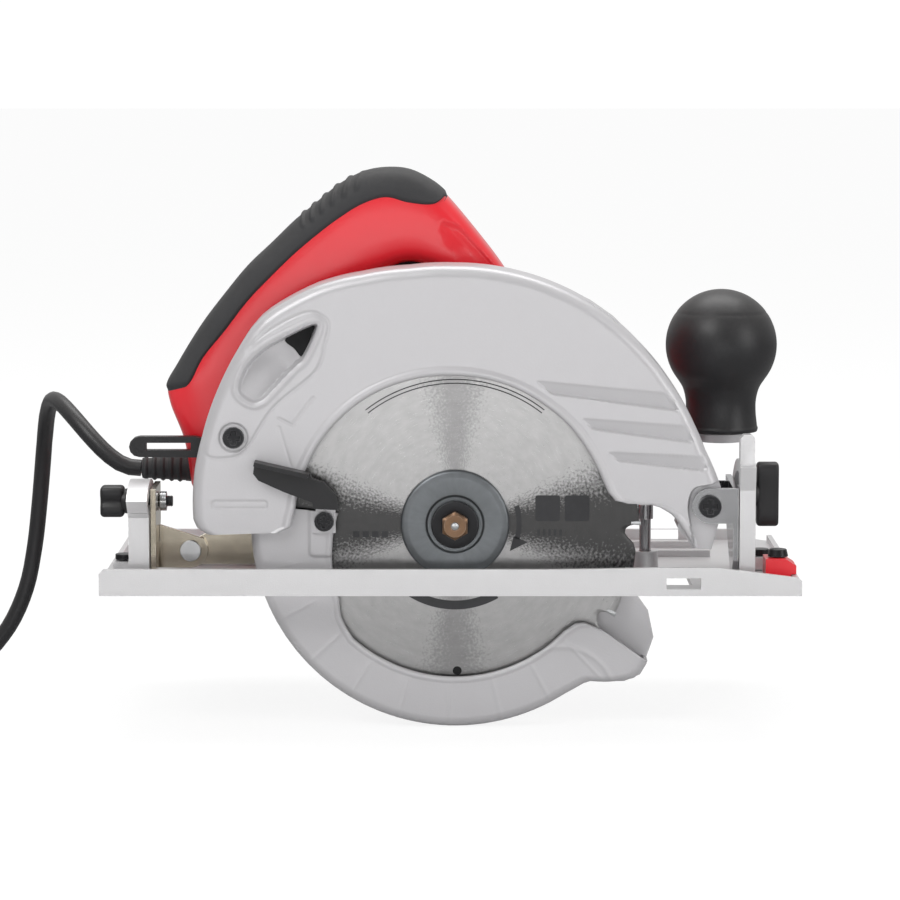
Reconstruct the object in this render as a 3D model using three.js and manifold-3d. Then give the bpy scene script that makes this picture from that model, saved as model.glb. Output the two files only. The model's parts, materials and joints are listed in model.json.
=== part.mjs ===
// A corded circular saw with a 165 mm blade, in millimetres.
// The origin is the centre of the base plate's sole, +X is the way it cuts, +Y is the motor's side, +Z is up.
// Pieces of the saw itself are drawn in the blade's own frame: its origin is the middle of the blade, on its axis.
import * as THREE from 'three';
import { mergeVertices } from 'three/addons/utils/BufferGeometryUtils.js';
import Module from 'manifold-3d';

const wasm = await Module();
wasm.setup();

// ---- Driving dimensions -------------------------------------------------------------------------------------
const FIT = 0.3;                  // clearance between pieces that touch
const RUN = 0.4;                  // clearance round anything that turns or slides
const THROUGH = 1;                // how far a cutting tool runs past the face that it opens

const BASE_LENGTH = 306, BASE_WIDTH = 160, BASE_PLATE = 3;
const LIP_WALL = 2.4, NEAR_LIP = 11.7, FAR_LIP = 8, END_LIP = 6;
const OPENING_REAR = -97, OPENING_FRONT = 106, OPENING_NEAR = -67, OPENING_FAR = -22;
const FENCE_WIDTH = 15, FENCE_THICK = 4.8, FENCE_X = 101.5;

const AXIS_X = 2, BLADE_Y = -50, AXIS_Z = 28;             // the blade's centre, from the sole's centre
const BLADE_R = 82.5, BLADE_PLATE = 1.2, TEETH = 24, TOOTH_DEPTH = 6;
const BORE_R = 10, FLANGE_R = 24, FLANGE_THICK = 3.4;
const BOLT_R = 4, BOLT_FLATS = 11, BOLT_HEAD = 4.6, WASHER_R = 10.5, WASHER_THICK = 1.5;
const SPINDLE_R = 7, NOSE_R = 17, NOSE_BORE = 14.3;

const GUARD_NEAR = -12.6, GUARD_FAR = 15, GUARD_WALL = 3;  // the upper guard's two faces, from the blade's plane
const GUARD_RIM = 4;
const COVER_R = 90, COVER_WALL = 1.8, COVER_NEAR = -8, COVER_FAR = 8, COVER_PLATE = 1.4;

const MOTOR_X = -8, MOTOR_Z = 26;                          // the motor's axis, from the blade's axis
const MOTOR_R = 38, MOTOR_WALL = 3.4, MOTOR_START = 34.4, MOTOR_LENGTH = 84, CAP_LENGTH = 24;
const GEAR_TEETH = 36, PINION_TEETH = 9, GEAR_START = 21, GEAR_WIDTH = 8;
const HOUSING_START = 15.4, HOUSING_END = 34, HOUSING_WALL = 2.2;
const SHAFT_R = 4, CORE_R = 20, FIELD_R = 33, FAN_R = 31, COMMUTATOR_R = 12;

const HANDLE_Y = 44, HANDLE_WIDTH = 36, HANDLE_WALL = 3, RUBBER = 2.4, RUBBER_PROUD = 1;
const BALL_X = 121, BALL_Y = 52, BALL_Z = 75, BALL_R = 25.2, NECK_R = 17, BALL_FOOT = 35.2;

const BEVEL_Z = 8;                                         // the bevel's axis, above the sole, in the blade's plane
const FRONT_QUADRANT_X = 127, FRONT_QUADRANT_THICK = 7, FRONT_SLOT_R = 40, FRONT_STUD_ANGLE = 48;
const REAR_QUADRANT_X = -141.5, REAR_QUADRANT_THICK = 9, REAR_SLOT_R = 31, REAR_STUD_ANGLE = 66;
const BEVEL_RANGE = 45, STUD_R = 2.5, STUD_SLOT = 6.2, BEVEL_PIN_R = 3;
const BRACKET = 2.5;

const PIVOT_X = 112, PIVOT_Z = 9, DEPTH_RANGE = 24;        // the depth pivot, from the blade's axis
const ARM_R = 196, ARM_WIDTH = 16, ARM_THICK = 2.6, ARM_Y = 16, LOCK_ANGLE = 179, LOCK_BOLT_R = 3;
const ARM_PIN_X = -118, ARM_PIN_Z = -14;

const CORD_D = 7.6, RELIEF_TIP = -142, CORD_Z = 19.4, FLOOR_Z = -62;
const COIL_X = -300, COIL_Y = -4, COIL_MEAN_R = 46.8, COIL_ACROSS = 5, COIL_LAYERS = 3;

// ---- Making solids ------------------------------------------------------------------------------------------
const rad = THREE.MathUtils.degToRad;
const polar = (r, degrees, x = 0, z = 0) => [x + r * Math.cos(rad(degrees)), z + r * Math.sin(rad(degrees))];

// A profile may be drawn either way round: a solid that comes out inside out has its triangles turned.
function solid(geometry) {
  const bare = geometry.index ? geometry.toNonIndexed() : geometry.clone();
  for (const name of Object.keys(bare.attributes)) if (name !== 'position') bare.deleteAttribute(name);
  const merged = mergeVertices(bare, 1e-4);
  const at = merged.attributes.position.array, raw = Array.from(merged.index.array), corners = [];
  let volume = 0;
  for (let i = 0; i < raw.length; i += 3) {
    const [a, b, c] = [raw[i], raw[i + 1], raw[i + 2]];
    if (a === b || b === c || c === a) continue;
    corners.push(a, b, c);
    volume += at[3 * a] * (at[3 * b + 1] * at[3 * c + 2] - at[3 * b + 2] * at[3 * c + 1])
      + at[3 * a + 1] * (at[3 * b + 2] * at[3 * c] - at[3 * b] * at[3 * c + 2])
      + at[3 * a + 2] * (at[3 * b] * at[3 * c + 1] - at[3 * b + 1] * at[3 * c]);
  }
  if (volume < 0) corners.reverse();
  const mesh = new wasm.Mesh({ numProp: 3, vertProperties: Float32Array.from(at), triVerts: Uint32Array.from(corners) });
  return new wasm.Manifold(mesh);
}

function geometryOf(body) {
  const mesh = body.getMesh();
  const geometry = new THREE.BufferGeometry();
  geometry.setAttribute('position', new THREE.BufferAttribute(mesh.vertProperties, 3));
  geometry.setIndex(new THREE.BufferAttribute(mesh.triVerts, 1));
  const flat = geometry.toNonIndexed();
  flat.computeVertexNormals();
  return flat;
}

const join = (first, ...others) => others.reduce((sum, other) => sum.add(other), first);
const cut = (first, ...others) => others.reduce((rest, other) => rest.subtract(other), first);

function shapeOf(points) {
  return new THREE.Shape(points.map(([x, y]) => new THREE.Vector2(x, y)));
}

// An outline of x and z, carried along Y from y0 to y1.
function slab(outline, y0, y1, holes = []) {
  const shape = outline instanceof THREE.Shape ? outline : shapeOf(outline);
  for (const hole of holes) shape.holes.push(shapeOf(hole));
  const geometry = new THREE.ExtrudeGeometry(shape, { depth: y1 - y0, bevelEnabled: false, curveSegments: 8 });
  return solid(geometry.rotateX(Math.PI / 2).translate(0, y1, 0));
}

// An outline of y and z, carried along X from x0 to x1.
function sideSlab(outline, x0, x1) {
  const geometry = new THREE.ExtrudeGeometry(shapeOf(outline), { depth: x1 - x0, bevelEnabled: false });
  return solid(geometry.rotateX(Math.PI / 2).rotateZ(Math.PI / 2).translate(x0, 0, 0));
}

// An outline of x and y, carried up from z0 to z1.
function plate(outline, z0, z1) {
  const geometry = new THREE.ExtrudeGeometry(shapeOf(outline), { depth: z1 - z0, bevelEnabled: false });
  return solid(geometry.translate(0, 0, z0));
}

function block(x0, x1, y0, y1, z0, z1) {
  const geometry = new THREE.BoxGeometry(x1 - x0, y1 - y0, z1 - z0);
  return solid(geometry.translate((x0 + x1) / 2, (y0 + y1) / 2, (z0 + z1) / 2));
}

function rod(axis, r, from, to, x = 0, y = 0, z = 0, sides = 20, endR = r) {
  const geometry = new THREE.CylinderGeometry(endR, r, to - from, sides).translate(0, (from + to) / 2, 0);
  if (axis === 'x') geometry.rotateZ(-Math.PI / 2);
  if (axis === 'z') geometry.rotateX(Math.PI / 2);
  return solid(geometry.translate(x, y, z));
}

const ring = (axis, r, bore, from, to, x = 0, y = 0, z = 0, sides = 20) =>
  cut(rod(axis, r, from, to, x, y, z, sides), rod(axis, bore, from - THROUGH, to + THROUGH, x, y, z, sides));

// A closed profile of radius and height, turned about Y.
function turned(profile, x = 0, y = 0, z = 0, sides = 24) {
  const points = profile.map(([r, h]) => new THREE.Vector2(r, h));
  return solid(new THREE.LatheGeometry(points, sides).translate(x, y, z));
}

// The same, turned about Z.
function turnedUp(profile, x, y, z, sides = 24) {
  const points = profile.map(([r, h]) => new THREE.Vector2(r, h));
  return solid(new THREE.LatheGeometry(points, sides).rotateX(Math.PI / 2).translate(x, y, z));
}

function arc(x, z, r, from, to, steps) {
  return Array.from({ length: steps + 1 }, (_, i) => polar(r, from + (to - from) * i / steps, x, z));
}

// A band between two radii about one centre.
const band = (x, z, inner, outer, from, to, steps) =>
  [...arc(x, z, outer, from, to, steps), ...arc(x, z, inner, to, from, steps)];

// A band whose two ends are round, as a slot or a strap is.
function slot(x, z, r, width, from, to, steps) {
  const end = polar(r, to, x, z), start = polar(r, from, x, z), half = width / 2;
  return [...arc(x, z, r + half, from, to, steps), ...arc(...end, half, to, to + 180, 5).slice(1),
    ...arc(x, z, r - half, to, from, steps).slice(1), ...arc(...start, half, from + 180, from + 360, 5).slice(1, -1)];
}

// A smooth closed or open curve through chosen points.
function smooth(points, steps, closed = false) {
  const curve = new THREE.CatmullRomCurve3(points.map(([x, z]) => new THREE.Vector3(x, z, 0)), closed);
  const found = curve.getSpacedPoints(steps).map((p) => [p.x, p.y]);
  return closed ? found.slice(0, -1) : found;
}

// Every edge of a closed outline, moved inwards by the same distance (outwards if it is negative).
function inset(points, distance) {
  const turn = THREE.ShapeUtils.isClockWise(points.map(([x, y]) => new THREE.Vector2(x, y))) ? -1 : 1;
  return points.map((point, i) => {
    const before = points[(i + points.length - 1) % points.length], after = points[(i + 1) % points.length];
    const a = new THREE.Vector2(point[0] - before[0], point[1] - before[1]).normalize();
    const b = new THREE.Vector2(after[0] - point[0], after[1] - point[1]).normalize();
    const way = new THREE.Vector2(-(a.y + b.y), a.x + b.x).normalize();
    const reach = turn * distance / Math.max(0.4, way.dot(new THREE.Vector2(-b.y, b.x)));
    return [point[0] + way.x * reach, point[1] + way.y * reach];
  });
}

function finish(color, roughness, metalness) {
  return () => new THREE.MeshStandardMaterial({ color, roughness, metalness });
}
const paintedCasting = finish(0xc9cacd, 0.45, 0.2);
const bareCasting = finish(0xd2d3d5, 0.4, 0.7);
const redPlastic = finish(0xd92a35, 0.4, 0);
const blackPlastic = finish(0x1d1d1f, 0.5, 0);
const softRubber = finish(0x464648, 0.8, 0);
const groundSteel = finish(0xb9bbbd, 0.35, 0.9);
const blueSteel = finish(0x7d8487, 0.5, 0.8);
const bronzedSteel = finish(0x825a46, 0.5, 0.7);
const yellowPlate = finish(0xcdc3af, 0.35, 0.8);
const brightPlate = finish(0xdcdcdc, 0.15, 1);
const blackSteel = finish(0x222222, 0.45, 0.7);
const copper = finish(0xb06a3a, 0.4, 0.9);
const carbon = finish(0x2a2a2c, 0.7, 0.1);

const model = new THREE.Group();
const saw = new THREE.Group();                             // everything that is drawn in the blade's frame
saw.position.set(AXIS_X, BLADE_Y, AXIS_Z);
model.add(saw);

function piece(group, name, body, material) {
  const mesh = new THREE.Mesh(geometryOf(body), material());
  mesh.name = name;
  group.add(mesh);
}

// A countersunk or pan head along Y with a cross in it, and the shank behind it.
function crossScrew(x, z, headR, face, thick, shankR, tip) {
  const arm = headR * 0.62, width = headR * 0.22, deep = thick * 0.5;
  return cut(
    join(rod('y', headR, face, face + thick, x, 0, z, 20), rod('y', shankR, face + thick / 2, tip, x, 0, z, 12)),
    block(x - arm, x + arm, face - THROUGH, face + deep, z - width, z + width),
    block(x - width, x + width, face - THROUGH, face + deep, z - arm, z + arm),
  );
}

// ---- Base plate and what is fixed to it (drawn from the sole's centre) --------------------------------------
const HALF_LENGTH = BASE_LENGTH / 2, HALF_WIDTH = BASE_WIDTH / 2;
const RECESS_NEAR = OPENING_FAR - THROUGH, RECESS_FAR = BLADE_Y + HOUSING_END + 3;
const FENCE_SCREW_X = 88, FENCE_SCREW_Y = -15, FENCE_BOSS_R = 6, FENCE_BOSS_TOP = 11, FENCE_STEM_R = 2.6;
const SIGHT_X = 139, SIGHT_LENGTH = 13.5, SIGHT_HALF = 8, SIGHT_TOP = 13;

function basePlate() {
  const corner = 8;
  const outline = [
    [-HALF_LENGTH, -HALF_WIDTH + 2], [-HALF_LENGTH + 2, -HALF_WIDTH], [HALF_LENGTH - 2, -HALF_WIDTH],
    [HALF_LENGTH, -HALF_WIDTH + 2], [HALF_LENGTH, HALF_WIDTH - corner], [HALF_LENGTH - corner, HALF_WIDTH],
    [-HALF_LENGTH + corner, HALF_WIDTH], [-HALF_LENGTH, HALF_WIDTH - corner],
  ];
  const nearLip = [
    [-HALF_LENGTH, 0], [HALF_LENGTH, 0], [HALF_LENGTH, 6.5], [HALF_LENGTH - 2, 8], [116, 12.4], [88, 12.4],
    [42, NEAR_LIP], [-HALF_LENGTH + 2, NEAR_LIP], [-HALF_LENGTH, NEAR_LIP - 2],
  ];
  const farEdge = HALF_WIDTH - LIP_WALL;
  let body = join(
    plate(outline, 0, BASE_PLATE),
    slab(nearLip, -HALF_WIDTH, -HALF_WIDTH + LIP_WALL),
    block(-HALF_LENGTH + corner, HALF_LENGTH - corner, farEdge, HALF_WIDTH, 0, FAR_LIP),
    block(-HALF_LENGTH, -HALF_LENGTH + LIP_WALL, -HALF_WIDTH, HALF_WIDTH - corner, 0, END_LIP),
    block(HALF_LENGTH - LIP_WALL, HALF_LENGTH, -HALF_WIDTH, HALF_WIDTH - corner, 0, END_LIP),
    rod('z', FENCE_BOSS_R, 1, FENCE_BOSS_TOP, FENCE_SCREW_X, FENCE_SCREW_Y, 0, 20),
  );
  const fence = (y) => block(FENCE_X - FENCE_WIDTH / 2, FENCE_X + FENCE_WIDTH / 2, y - LIP_WALL - THROUGH,
    y + LIP_WALL + THROUGH, BASE_PLATE, BASE_PLATE + FENCE_THICK);
  body = cut(body,
    block(OPENING_REAR, OPENING_FRONT, OPENING_NEAR, OPENING_FAR, -THROUGH, 20),
    block(-44, 34, RECESS_NEAR, RECESS_FAR, -THROUGH, 20),
    fence(-HALF_WIDTH + LIP_WALL / 2), fence(farEdge + LIP_WALL / 2),
    rod('z', FENCE_STEM_R + RUN, BASE_PLATE, 20, FENCE_SCREW_X, FENCE_SCREW_Y, 0, 16));
  const rib = (y, x0, x1) => block(x0, x1, y, y + 2, BASE_PLATE - 1, END_LIP);
  return join(body, rib(20, -120, 120), rib(50, -120, 120), rib(-9, -126, -50));
}

// A quadrant stands across the base: a plate with an arc slot about the bevel's axis, on a screwed foot.
function quadrant(x, thick, slotR, studAngle, tower, footAt) {
  const wall = 5.5, outer = slotR + STUD_SLOT / 2 + wall, low = studAngle - 16, high = studAngle + BEVEL_RANGE + 14;
  const [farY] = polar(outer, low, BLADE_Y);
  const outline = [
    ...arc(BLADE_Y, BEVEL_Z, outer, low, high, 12), [BLADE_Y - 12, BEVEL_Z + tower - 12],
    [BLADE_Y - 12, BASE_PLATE + FIT], [farY, BASE_PLATE + FIT],
  ];
  const foot = (y) => block(x + Math.min(0, footAt), x + Math.max(thick, thick + footAt), y - 7, y + 7,
    BASE_PLATE + FIT, BASE_PLATE + 6);
  const hole = (y) => rod('z', 2.4, 0, 20, x + (footAt < 0 ? footAt / 2 : thick + footAt / 2), y, 0, 12);
  const y = farY - 8;
  const slotCut = slot(BLADE_Y, BEVEL_Z, slotR, STUD_SLOT, studAngle - 3, studAngle + BEVEL_RANGE + 3, 10);
  return {
    screwX: x + (footAt < 0 ? footAt / 2 : thick + footAt / 2), screwY: y,
    body: cut(
      join(sideSlab(outline, x, x + thick), foot(y)),
      sideSlab(slotCut, x - THROUGH, x + thick + THROUGH), hole(y),
      rod('x', BEVEL_PIN_R + FIT, x - THROUGH, x + thick + THROUGH, 0, BLADE_Y, BEVEL_Z, 16)),
  };
}
const POST_TOP = 68.5, POST_NEAR = -12, POST_FAR = -5.2, REAR_TOWER = 36;
const frontQuadrant = quadrant(FRONT_QUADRANT_X, FRONT_QUADRANT_THICK, FRONT_SLOT_R, FRONT_STUD_ANGLE, 48, 12);
const rearQuadrant = quadrant(REAR_QUADRANT_X, REAR_QUADRANT_THICK, REAR_SLOT_R, REAR_STUD_ANGLE, REAR_TOWER, -9);
const towerPost = slab([
  [FRONT_QUADRANT_X, BEVEL_Z + 10], [FRONT_QUADRANT_X + FRONT_QUADRANT_THICK, BEVEL_Z + 10],
  [FRONT_QUADRANT_X + FRONT_QUADRANT_THICK - 0.6, POST_TOP - 1.4],
  [FRONT_QUADRANT_X + FRONT_QUADRANT_THICK - 2, POST_TOP],
  [FRONT_QUADRANT_X + 1.6, POST_TOP], [FRONT_QUADRANT_X, POST_TOP - 1.6],
], BLADE_Y + POST_NEAR, BLADE_Y + POST_FAR);

function footScrew({ screwX, screwY }) {
  const seat = BASE_PLATE + 6;
  return join(rod('z', 4, seat + FIT, seat + 3, screwX, screwY, 0, 16),
    rod('z', 2.1, BASE_PLATE + FIT, seat + 1, screwX, screwY, 0, 12));
}

function sightIndicator() {
  const outline = [[-SIGHT_HALF, 0], [-1.2, 0], [0, 2.4], [1.2, 0], [SIGHT_HALF, 0], [SIGHT_HALF, SIGHT_LENGTH],
    [-SIGHT_HALF, SIGHT_LENGTH]].map(([y, x]) => [SIGHT_X + SIGHT_LENGTH - x, BLADE_Y + y]);
  const wedge = slab([[SIGHT_X - 1, BASE_PLATE + FIT], [SIGHT_X + SIGHT_LENGTH + 1, BASE_PLATE + FIT],
    [SIGHT_X + SIGHT_LENGTH + 1, 9.5], [SIGHT_X + 9, SIGHT_TOP], [SIGHT_X - 1, SIGHT_TOP]],
  BLADE_Y - SIGHT_HALF - 1, BLADE_Y + SIGHT_HALF + 1);
  return cut(plate(outline, BASE_PLATE + FIT, SIGHT_TOP).intersect(wedge),
    block(HALF_LENGTH - LIP_WALL - FIT, HALF_LENGTH + 5, BLADE_Y - 10, BLADE_Y + 10, 0, END_LIP + FIT),
    rod('z', 2.1, 0, 20, SIGHT_X + 6, BLADE_Y, 0, 12));
}
const sightScrew = () => join(rod('z', 4.6, SIGHT_TOP + FIT, SIGHT_TOP + 3.6, SIGHT_X + 6, BLADE_Y, 0, 16, 3.8),
  rod('z', 1.8, BASE_PLATE + FIT, SIGHT_TOP + 2, SIGHT_X + 6, BLADE_Y, 0, 12));

function fenceClampScrew() {
  const hubBase = 25.5, hubTop = 32, wingReach = 15.5, x = FENCE_SCREW_X, y = FENCE_SCREW_Y;
  return join(
    rod('z', FENCE_STEM_R, BASE_PLATE + FIT, hubBase + 1, x, y, 0, 16),
    rod('z', 3.6, hubBase, hubTop, x, y, 0, 16),
    slab([[x - wingReach, hubBase + 1], [x, hubBase], [x, hubTop], [x - 5, hubTop], [x - wingReach, hubBase + 4]],
      y - 1.4, y + 1.4),
    rod('y', 2.2, -2, 2, x - wingReach, y, hubBase + 2.4, 12));
}

piece(model, 'base_plate', basePlate(), bareCasting);
piece(model, 'front_quadrant', join(frontQuadrant.body, towerPost), bareCasting);
piece(model, 'rear_quadrant', rearQuadrant.body, bareCasting);
piece(model, 'front_quadrant_screw', footScrew(frontQuadrant), blackSteel);
piece(model, 'rear_quadrant_screw', footScrew(rearQuadrant), blackSteel);
piece(model, 'sight_indicator', sightIndicator(), redPlastic);
piece(model, 'sight_screw', sightScrew(), blackSteel);
piece(model, 'fence_clamp_screw', fenceClampScrew(), blackPlastic);

// ---- Bevel brackets, their knobs and the depth arm ----------------------------------------------------------
const BEVEL_DROP = BEVEL_Z - AXIS_Z;                       // the bevel's axis, from the blade's axis
const [frontStudY, frontStudZ] = polar(FRONT_SLOT_R, FRONT_STUD_ANGLE, 0, BEVEL_DROP);
const [rearStudY, rearStudZ] = polar(REAR_SLOT_R, REAR_STUD_ANGLE, 0, BEVEL_DROP);
const FRONT_PLATE_END = FRONT_QUADRANT_X - AXIS_X - FIT, FRONT_PLATE_START = FRONT_PLATE_END - BRACKET;
const REAR_PLATE_START = REAR_QUADRANT_X + REAR_QUADRANT_THICK - AXIS_X + FIT;
const REAR_PLATE_END = REAR_PLATE_START + BRACKET;
const EAR_R = 7.8, FORK_NEAR = -10.6, FORK_FAR = 17.6;

// The plate of a bevel bracket stands against its quadrant, from the bevel's axis up to the clamp stud.
// Its foot is round about that axis and slants away on the near side, so it clears the base as the saw tilts.
const PLATE_FOOT_R = BEVEL_Z - BASE_PLATE - RUN;
function bevelPlate(x0, x1, studY, studZ, near, far, top) {
  const outline = [[near, BEVEL_DROP - near - 1.3 * PLATE_FOOT_R], ...arc(0, BEVEL_DROP, PLATE_FOOT_R, 225, 300, 4),
    [far, studZ - 9], [far, studZ + 8], [near, top]];
  return cut(sideSlab(outline, x0, x1), rod('x', STUD_R + FIT, x0 - THROUGH, x1 + THROUGH, 0, studY, studZ, 16));
}

// A fork of two ears holds the guard's front lug by a pin along Y.
function frontBracket() {
  const ear = (y) => cut(
    slab([[FRONT_PLATE_END, PIVOT_Z - EAR_R], [FRONT_PLATE_END, PIVOT_Z + EAR_R],
      ...arc(PIVOT_X, PIVOT_Z, EAR_R, 90, 270, 10)], y, y + BRACKET - 0.5),
    rod('y', BEVEL_PIN_R + FIT, y - THROUGH, y + BRACKET + THROUGH, PIVOT_X, 0, PIVOT_Z, 16));
  return join(
    bevelPlate(FRONT_PLATE_START, FRONT_PLATE_END, frontStudY, frontStudZ, FORK_NEAR, frontStudY + 8, PIVOT_Z + EAR_R),
    ear(FORK_NEAR), ear(FORK_FAR),
    rod('x', BEVEL_PIN_R, FRONT_PLATE_END - 1, FRONT_PLATE_END + FRONT_QUADRANT_THICK, 0, 0, BEVEL_DROP, 16));
}

function rearBracket() {
  const y = ARM_Y - FIT - BRACKET;
  const ear = [[REAR_PLATE_END - 1, -2], [-112, -8.6], ...arc(ARM_PIN_X, ARM_PIN_Z, EAR_R, 35, -90, 7),
    [REAR_PLATE_END - 1, ARM_PIN_Z - EAR_R]];
  return cut(join(
    bevelPlate(REAR_PLATE_START, REAR_PLATE_END, rearStudY, rearStudZ, -7, Math.max(rearStudY + 8, y + BRACKET), 16),
    slab(ear, y, y + BRACKET),
    rod('x', BEVEL_PIN_R, REAR_PLATE_START - REAR_QUADRANT_THICK, REAR_PLATE_START + 1, 0, 0, BEVEL_DROP, 16)),
  rod('y', BEVEL_PIN_R + FIT, y - THROUGH, y + BRACKET + THROUGH, ARM_PIN_X, 0, ARM_PIN_Z, 16));
}

// The depth arm is a flat plate whose slot runs in an arc about the depth pivot.
function depthArm() {
  const low = LOCK_ANGLE + 4, high = LOCK_ANGLE - DEPTH_RANGE - 3, half = ARM_WIDTH / 2;
  const outline = [
    ...arc(PIVOT_X, PIVOT_Z, ARM_R - half, low, high, 8), ...arc(PIVOT_X, PIVOT_Z, ARM_R + half, high + 1.6, low, 8),
    [-104, -3], ...arc(ARM_PIN_X, ARM_PIN_Z, 6.5, 60, 270, 8), [-90, ARM_PIN_Z - 6.5],
  ];
  return cut(slab(outline, ARM_Y, ARM_Y + ARM_THICK),
    slab(slot(PIVOT_X, PIVOT_Z, ARM_R, 2 * (LOCK_BOLT_R + RUN), LOCK_ANGLE - DEPTH_RANGE - 0.5, LOCK_ANGLE + 0.5, 8),
      ARM_Y - THROUGH, ARM_Y + ARM_THICK + THROUGH),
    rod('y', BEVEL_PIN_R + FIT, ARM_Y - THROUGH, ARM_Y + ARM_THICK + THROUGH, ARM_PIN_X, 0, ARM_PIN_Z, 16));
}

function armPin() {
  const near = ARM_Y - FIT - BRACKET, far = ARM_Y + ARM_THICK;
  return join(rod('y', BEVEL_PIN_R, near - 1, far + 1, ARM_PIN_X, 0, ARM_PIN_Z, 16),
    rod('y', 4.8, near - 2, near - FIT, ARM_PIN_X, 0, ARM_PIN_Z, 20),
    rod('y', 4.8, far + FIT, far + 1.8, ARM_PIN_X, 0, ARM_PIN_Z, 20));
}

const pivotScrew = () => join(
  crossScrew(PIVOT_X, PIVOT_Z, 5, FORK_NEAR - 3, 3 - FIT, BEVEL_PIN_R, FORK_FAR + BRACKET),
  rod('y', 5, FORK_FAR + BRACKET - 0.5 + FIT, FORK_FAR + BRACKET + 3, PIVOT_X, 0, PIVOT_Z, 6));

// A wing knob on the end of its stud, which runs through the quadrant's slot and the bracket.
function bevelKnob(start, side, length, wing, studY, studZ, tailX) {
  const x0 = start + side * FIT, hubEnd = x0 + side * 4, x1 = x0 + side * length;
  const low = Math.min, high = Math.max;
  return join(
    rod('x', 5.5, low(x0, hubEnd + side), high(x0, hubEnd + side), 0, studY, studZ, 20),
    sideSlab([[studY - 3.2, studZ - wing], [studY + 3.2, studZ - wing], [studY + 4.6, studZ - wing + 4],
      [studY + 3.6, studZ], [studY + 4.6, studZ + wing - 4], [studY + 3.2, studZ + wing],
      [studY - 3.2, studZ + wing], [studY - 4.6, studZ + wing - 4], [studY - 3.6, studZ],
      [studY - 4.6, studZ - wing + 4]], low(hubEnd, x1), high(hubEnd, x1)),
    rod('x', STUD_R, low(hubEnd, tailX), high(hubEnd, tailX), 0, studY, studZ, 16));
}
const FRONT_FACE = FRONT_PLATE_END + FIT + FRONT_QUADRANT_THICK, REAR_FACE = REAR_QUADRANT_X - AXIS_X;
const KNOB_NUT = 3;
const studNut = (x, studY, studZ) => ring('x', 4.4, STUD_R + FIT, x, x + KNOB_NUT, 0, studY, studZ, 18);

piece(saw, 'front_bracket', frontBracket(), brightPlate);
piece(saw, 'rear_bracket', rearBracket(), yellowPlate);
piece(saw, 'depth_arm', depthArm(), yellowPlate);
piece(saw, 'arm_pin', armPin(), groundSteel);
piece(saw, 'depth_pivot_screw', pivotScrew(), blackSteel);
piece(saw, 'front_bevel_knob', bevelKnob(FRONT_FACE, 1, 13, 14.5, frontStudY, frontStudZ,
  FRONT_PLATE_START - KNOB_NUT - 2), blackPlastic);
piece(saw, 'rear_bevel_knob', bevelKnob(REAR_FACE, -1, 14, 7, rearStudY, rearStudZ,
  REAR_PLATE_END + KNOB_NUT + 3), blackPlastic);
piece(saw, 'front_stud_nut', studNut(FRONT_PLATE_START - KNOB_NUT - FIT, frontStudY, frontStudZ), groundSteel);
piece(saw, 'rear_stud_nut', studNut(REAR_PLATE_END + FIT, rearStudY, rearStudZ), groundSteel);

// ---- Upper guard --------------------------------------------------------------------------------------------
const guardOutline = [
  [-112, -2.5], [-77, -2.5], [-72, 0], [-70, 8], [-66, 24], [-60, 36], [-50, 48], [-40, 56], [-30, 61], [-15, 65.6],
  [0, 66.5], [15, 64.6], [30, 59.5], [40, 53], [50, 44.5], [60, 31], [65, 20], [69, 12], [76, 10], [87, 9.5],
  [95, 5.5], [100, -1], [105, -10], [113, -10], [115.5, 0], [117, 17], [110, 33.5], [100, 54], [90, 70], [80, 81],
  [70, 91], [60, 98], [50, 103], [35, 109], [18, 113], [0, 114.3], [-20, 113.6], [-40, 111], [-56, 107.4],
  [-70, 101], [-82, 94], [-90, 86], [-98, 73], [-105, 58], [-111, 40], [-114.5, 25], [-115.3, 10], [-115, 2],
];
const backOutline = [
  ...guardOutline.slice(0, 4), [-70, -6], [-40, -22], [0, -26], [34, -22], [58, -8], [76, 6],
  ...guardOutline.slice(19),
];
const outletOutline = [[-60, 89], [-65, 76], [-70, 70.5], [-80, 60], [-84, 56], [-88, 54.5], [-93, 57], [-95, 60],
  [-92, 70], [-85, 77.5], [-75, 83.5]];
const LUG_HALF = FORK_NEAR + BRACKET - 0.5 + FIT;
const SEAT_X0 = 99.5, SEAT_X1 = 107.5, SEAT_FOOT = 112, SEAT_BASE = 27;

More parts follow.
